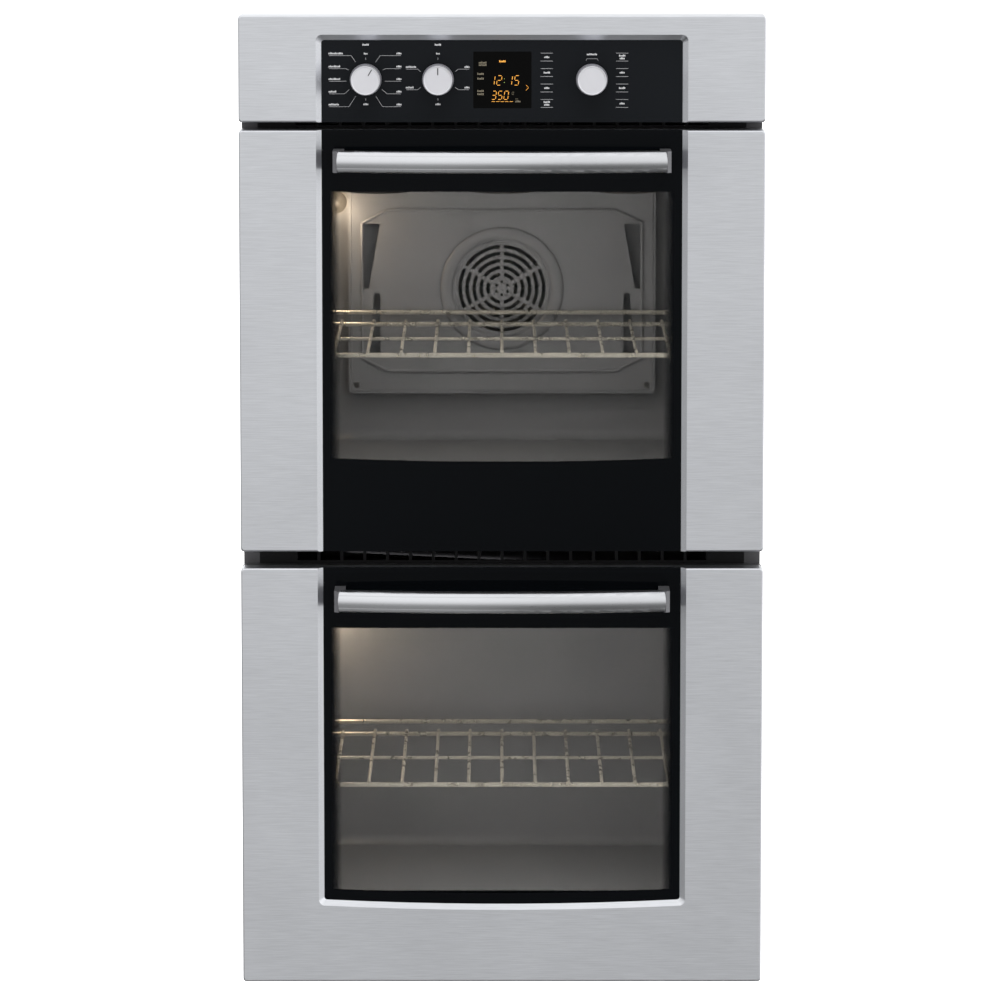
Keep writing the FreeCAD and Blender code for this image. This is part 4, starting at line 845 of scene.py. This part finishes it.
AMBER = glowing("amber digits", (1.0, 0.44, 0.05), 1.15)
GREENISH = glowing("green colon", (0.45, 0.62, 0.12), 0.6)
# The unlit symbols glow faintly: painted light that stands in for room light falling on them.
PAINTED_GLOW = glowing("unlit symbols, painted glow", (0.42, 0.36, 0.24), 0.16)
SMOKED = painted_glass("display window", (0.0006, 0.0006, 0.0006), ())
lens = block("display_window", (low.x, PRINT_Y - 0.00005, low.z), (high.x, PRINT_Y + 0.0008, high.z))
bevel_edges(lens, lambda a, b: along(1, a, b), 0.0012)
finished(lens, SMOKED, "chassis")
LIT_Y = PRINT_Y - 0.0001
finished(drawn("display_digits", lit, 0.00038, LIT_Y), AMBER, "chassis")
finished(drawn("display_bars", bars + chevron, 0.00026, LIT_Y), AMBER, "chassis")
finished(drawn("display_colon", colon, 0.00042, LIT_Y), GREENISH, "chassis")
marks = word(centre_x - 0.0255, KNOB_Z + 0.0215, 6) + word(centre_x - 0.0255, KNOB_Z + 0.0185, 6)
marks += word(centre_x - 0.0282, KNOB_Z + 0.0070, 5) + word(centre_x - 0.0282, KNOB_Z + 0.0010, 5)
marks += word(centre_x - 0.0282, KNOB_Z - 0.0150, 5) + word(centre_x - 0.0282, KNOB_Z - 0.0190, 5)
marks += word(centre_x + 0.0200, KNOB_Z - 0.0284, 4)
faint_master = block("faint_stroke", (-0.5, -0.5, -0.5), (0.5, 0.5, 0.5))
marks = [((x, LIT_Y, z), size) for (x, y, z), size in marks]
finished(copies("display_faint_words", faint_master, marks), PAINTED_GLOW, "chassis")
finished(drawn("display_faint_lines", dim, 0.00025, LIT_Y), PAINTED_GLOW, "chassis")
lit_master = block("lit_stroke", (-0.5, -0.5, -0.5), (0.5, 0.5, 0.5))
lit_word = [((x, LIT_Y, z), size) for (x, y, z), size in word(centre_x, KNOB_Z + 0.0232, 5)]
finished(copies("display_lit_word", lit_master, lit_word), AMBER, "chassis")


# %% [markdown]
# ### Turned knobs
# Each knob is an aluminium cap on a darker skirt. A cylinder is the start: its front is inset and
# pushed in a hair to leave a fine rim, and the rim's edges are rounded. A dark line drawn on the
# front is the pointer. All three ride on the knob's own body, so that they turn with it.

# %% Knob caps, skirts and pointers
def knob(name, pointer_angle):
    low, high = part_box(name)
    centre = KNOBS[name]
    radius = (high.x - low.x) / 2
    cap_r = radius - 0.0017
    front = low.y
    skirt_y = PRINT_Y - 0.0008
    cap_back = skirt_y - 0.0012
    cap = rod(name + "_cap", cap_r, cap_back - front, (centre.x, (front + cap_back) / 2, centre.z), "y", 96)
    pick(cap, "FACE", lambda place, normal: normal.y < -0.9)
    bpy.ops.mesh.inset(thickness=0.0011)
    bpy.ops.mesh.inset(thickness=0.0008, depth=-0.0005)
    leave()
    bevel_edges(cap, lambda a, b: a.y < front + 1e-5 and b.y < front + 1e-5
                and (a - centre).xz.length > cap_r - 0.0002, 0.0007, 3)
    finished(cap, SATIN, name, [name], 30)
    skirt = rod(name + "_skirt", radius, 0.0060, (centre.x, skirt_y - 0.0030, centre.z), "y", 96)
    bevel_edges(skirt, lambda a, b: a.y < skirt_y - 0.005 and b.y < skirt_y - 0.005, 0.0013, 4)
    finished(skirt, KNOB_SKIRT, name, degrees=30)
    if pointer_angle is not None:
        turn = math.radians(pointer_angle)
        along_x, along_z = math.sin(turn), math.cos(turn)
        line = [(centre.x + along_x * r, centre.z + along_z * r) for r in (0.0072, 0.0162)]
        finished(drawn(name + "_pointer", [line], 0.00070, front + 0.0004), BLACK_PLASTIC, name)


for name, angle in (("upper_mode_knob", 30), ("lower_mode_knob", 0), ("settings_knob", None)):
    knob(name, angle)

# %% [markdown]
# ## The pressed fan cover
# The steel cover over the fan is pressed: a rounded bead runs round its octagon, a deep round bead
# circles the fan, and a finer one edges the grille. Each round bead is a torus, flattened towards
# the cover and half sunk in it, so that light rolls over it as over a real pressing. The octagon
# and the cover's border are drawn as curves, like the print.

# %% Beads on the fan cover
COVER_LOW, COVER_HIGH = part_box("fan_baffle")
FAN = middle("convection_fan")
COVER_Y = COVER_LOW.y


def bead(name, radius, thickness, y, flatten=0.55):
    bpy.ops.object.select_all(action="DESELECT")
    bpy.ops.mesh.primitive_torus_add(major_radius=radius, minor_radius=thickness, major_segments=96,
                                     minor_segments=16, location=(0, 0, 0), rotation=TURNS["y"])
    ring = fresh(name)
    pick(ring, "VERT", lambda co: True)
    bpy.ops.transform.resize(value=(1, flatten, 1))
    bpy.ops.transform.translate(value=(FAN.x, y, FAN.z))
    leave()
    tidy_mesh(ring)
    return ring


beads = [bead("fan_bead_outer", 0.0765, 0.0085, COVER_Y + 0.0008),
         bead("grille_bead", 0.0645, 0.0018, COVER_Y + 0.0024)]
finished(joined("fan_cover_beads", beads), ENAMEL, "chassis")

OCTAGON_HALF = 0.1925
OCTAGON_CUT = (0.035, 0.018)
OCTAGON_LOW = COVER_LOW.z + 0.0315
OCTAGON_HIGH = COVER_HIGH.z - 0.0445
outline = []
for x_sign, z_high in ((-1, False), (-1, True), (1, True), (1, False)):
    z_edge = OCTAGON_HIGH if z_high else OCTAGON_LOW
    toward_middle = -1 if z_high else 1
    cut_corner = [(x_sign * (OCTAGON_HALF - OCTAGON_CUT[0]), z_edge),
                  (x_sign * OCTAGON_HALF, z_edge + toward_middle * OCTAGON_CUT[1])]
    if (x_sign < 0) == z_high:
        cut_corner.reverse()
    outline += cut_corner
outline.append(outline[0])
rim = drawn("octagon_bead", [outline], 0.0026, COVER_Y + 0.0004)
BORDER_IN = 0.004
left, right = COVER_LOW.x + BORDER_IN, COVER_HIGH.x - BORDER_IN
bottom, top = COVER_LOW.z + BORDER_IN, COVER_HIGH.z - BORDER_IN
border = [(left, bottom), (left, top), (right, top), (right, bottom)]
frame_line = drawn("cover_border", [border + border[:1]], 0.0012, COVER_Y + 0.0024)
finished(joined("fan_cover_lines", [rim, frame_line]), ENAMEL, "chassis")


# %% [markdown]
# ## Screws
# Sheet-metal screws hold the back and the top of the body. A screw is a short cylinder with a
# rounded head and a round socket, made by two insets. One master is modelled for each direction,
# so that its copies already face outwards.

# %% Screw masters and their places
def screw_master(axis, radius=0.0042, height=0.0022):
    """A pan-head screw at the origin, with its head towards +Y or +Z."""
    head = rod("screw", radius, height, (0, 0, 0), axis, 20)
    index = "xyz".index(axis)
    bevel_edges(head, lambda a, b: a[index] > height * 0.4 and b[index] > height * 0.4,
                height * 0.45, 3)
    pick(head, "FACE", lambda place, normal: normal[index] > 0.99 and place[index] > 0)
    bpy.ops.mesh.inset(thickness=radius * 0.30)
    bpy.ops.mesh.inset(thickness=radius * 0.06, depth=-height * 0.4)
    leave()
    return head


def screws(name, axis, places):
    """Screws of one direction, at their places, as one piece."""
    full_size = (1, 1, 1)
    made = copies(name, screw_master(axis), [(place, full_size) for place in places])
    finished(made, ZINC, "chassis")


SCREW_IN = 0.012
SCREW_PROUD = 0.0009
COLUMN_END = 0.03
low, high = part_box("rear_cover")
sides = (low.x + SCREW_IN, high.x - SCREW_IN)
rear_y = high.y + SCREW_PROUD
rows = [low.z + COLUMN_END + i * (high.z - low.z - 2 * COLUMN_END) / 5 for i in range(6)]
rear_places = [(x, rear_y, z) for x in sides for z in rows]
rear_places += [(x, rear_y, z) for x in (-0.1, 0.1) for z in (low.z + SCREW_IN, high.z - SCREW_IN)]
screws("rear_screws", "y", rear_places)
top_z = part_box("front_frame")[1].z + SCREW_PROUD
screws("top_screws", "z", [(x, y, top_z) for x in sides for y in (-0.18, -0.02, 0.14, 0.30)])

# %% [markdown]
# ## The CAD parts that stay
# Hidden or simple parts keep their own shape, and each gets the finish that it has on the oven,
# except the inner shelves, whose black is painted shade that keeps the space behind the louvres dark.
# A part that a new piece stands for is hidden, so its finish is never seen.

# %% Finishes for the parts that stay
KEPT = (
    (STEEL, "upper_door_skin lower_door_skin control_fascia"),
    (HANDLE_STEEL, "upper_handle_bar lower_handle_bar"),
    (HANDLE_END_GREY_AND_SHADE, "upper_handle_posts lower_handle_posts"),
    (DOOR_GLASS, "upper_door_outer_glass lower_door_outer_glass"),
    (CLEAR_PANE, "upper_door_inner_panes lower_door_inner_panes"),
    (LINER_ENAMEL, "upper_door_liner lower_door_liner"),
    # The inner shelves get the black as painted shade, so the space seen through the louvres stays dark.
    (BLACK_PAINT_AND_SHADE, "front_frame vent_louvres inner_shelves upper_door_pane_carrier lower_door_pane_carrier"),
    (TRIM_GREY, "trim_flanges"),
    (ENAMEL, "upper_cavity lower_cavity fan_baffle"),
    (NICKEL, "upper_rack lower_rack rack_guides"),
    (BRAID, "door_gaskets"),
    (FIBRE, "insulation_blankets"),
    (HEATER, "broil_elements bake_elements convection_element"),
    (SATIN, "upper_mode_knob lower_mode_knob settings_knob fan_motor blower_motor temperature_probes"),
    (PANEL_GLASS, "control_glass"),
    (LAMP_GLASS, "lamp_lenses"),
    (BOARD, "control_board"),
    (BLACK_PLASTIC, "display_module knob_encoders control_bracket blower_housing cooling_blower_wheel"),
    (BLACK_PLASTIC, "latch_motors lamp_holders"),
    (ZINC, "baffle_screws hinge_receivers upper_door_hinge_arms lower_door_hinge_arms"),
    (ZINC, "upper_latch_hook lower_latch_hook convection_fan terminal_box conduit_gland"),
    (GALVANISED, "right_side_panel left_side_panel top_cover rear_cover base_tray"),
)
for material, names in KEPT:
    for name in names.split():
        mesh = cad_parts[name].data
        mesh.materials.clear()
        mesh.materials.append(material)
print("kept parts with a finish:", sum(len(names.split()) for material, names in KEPT))
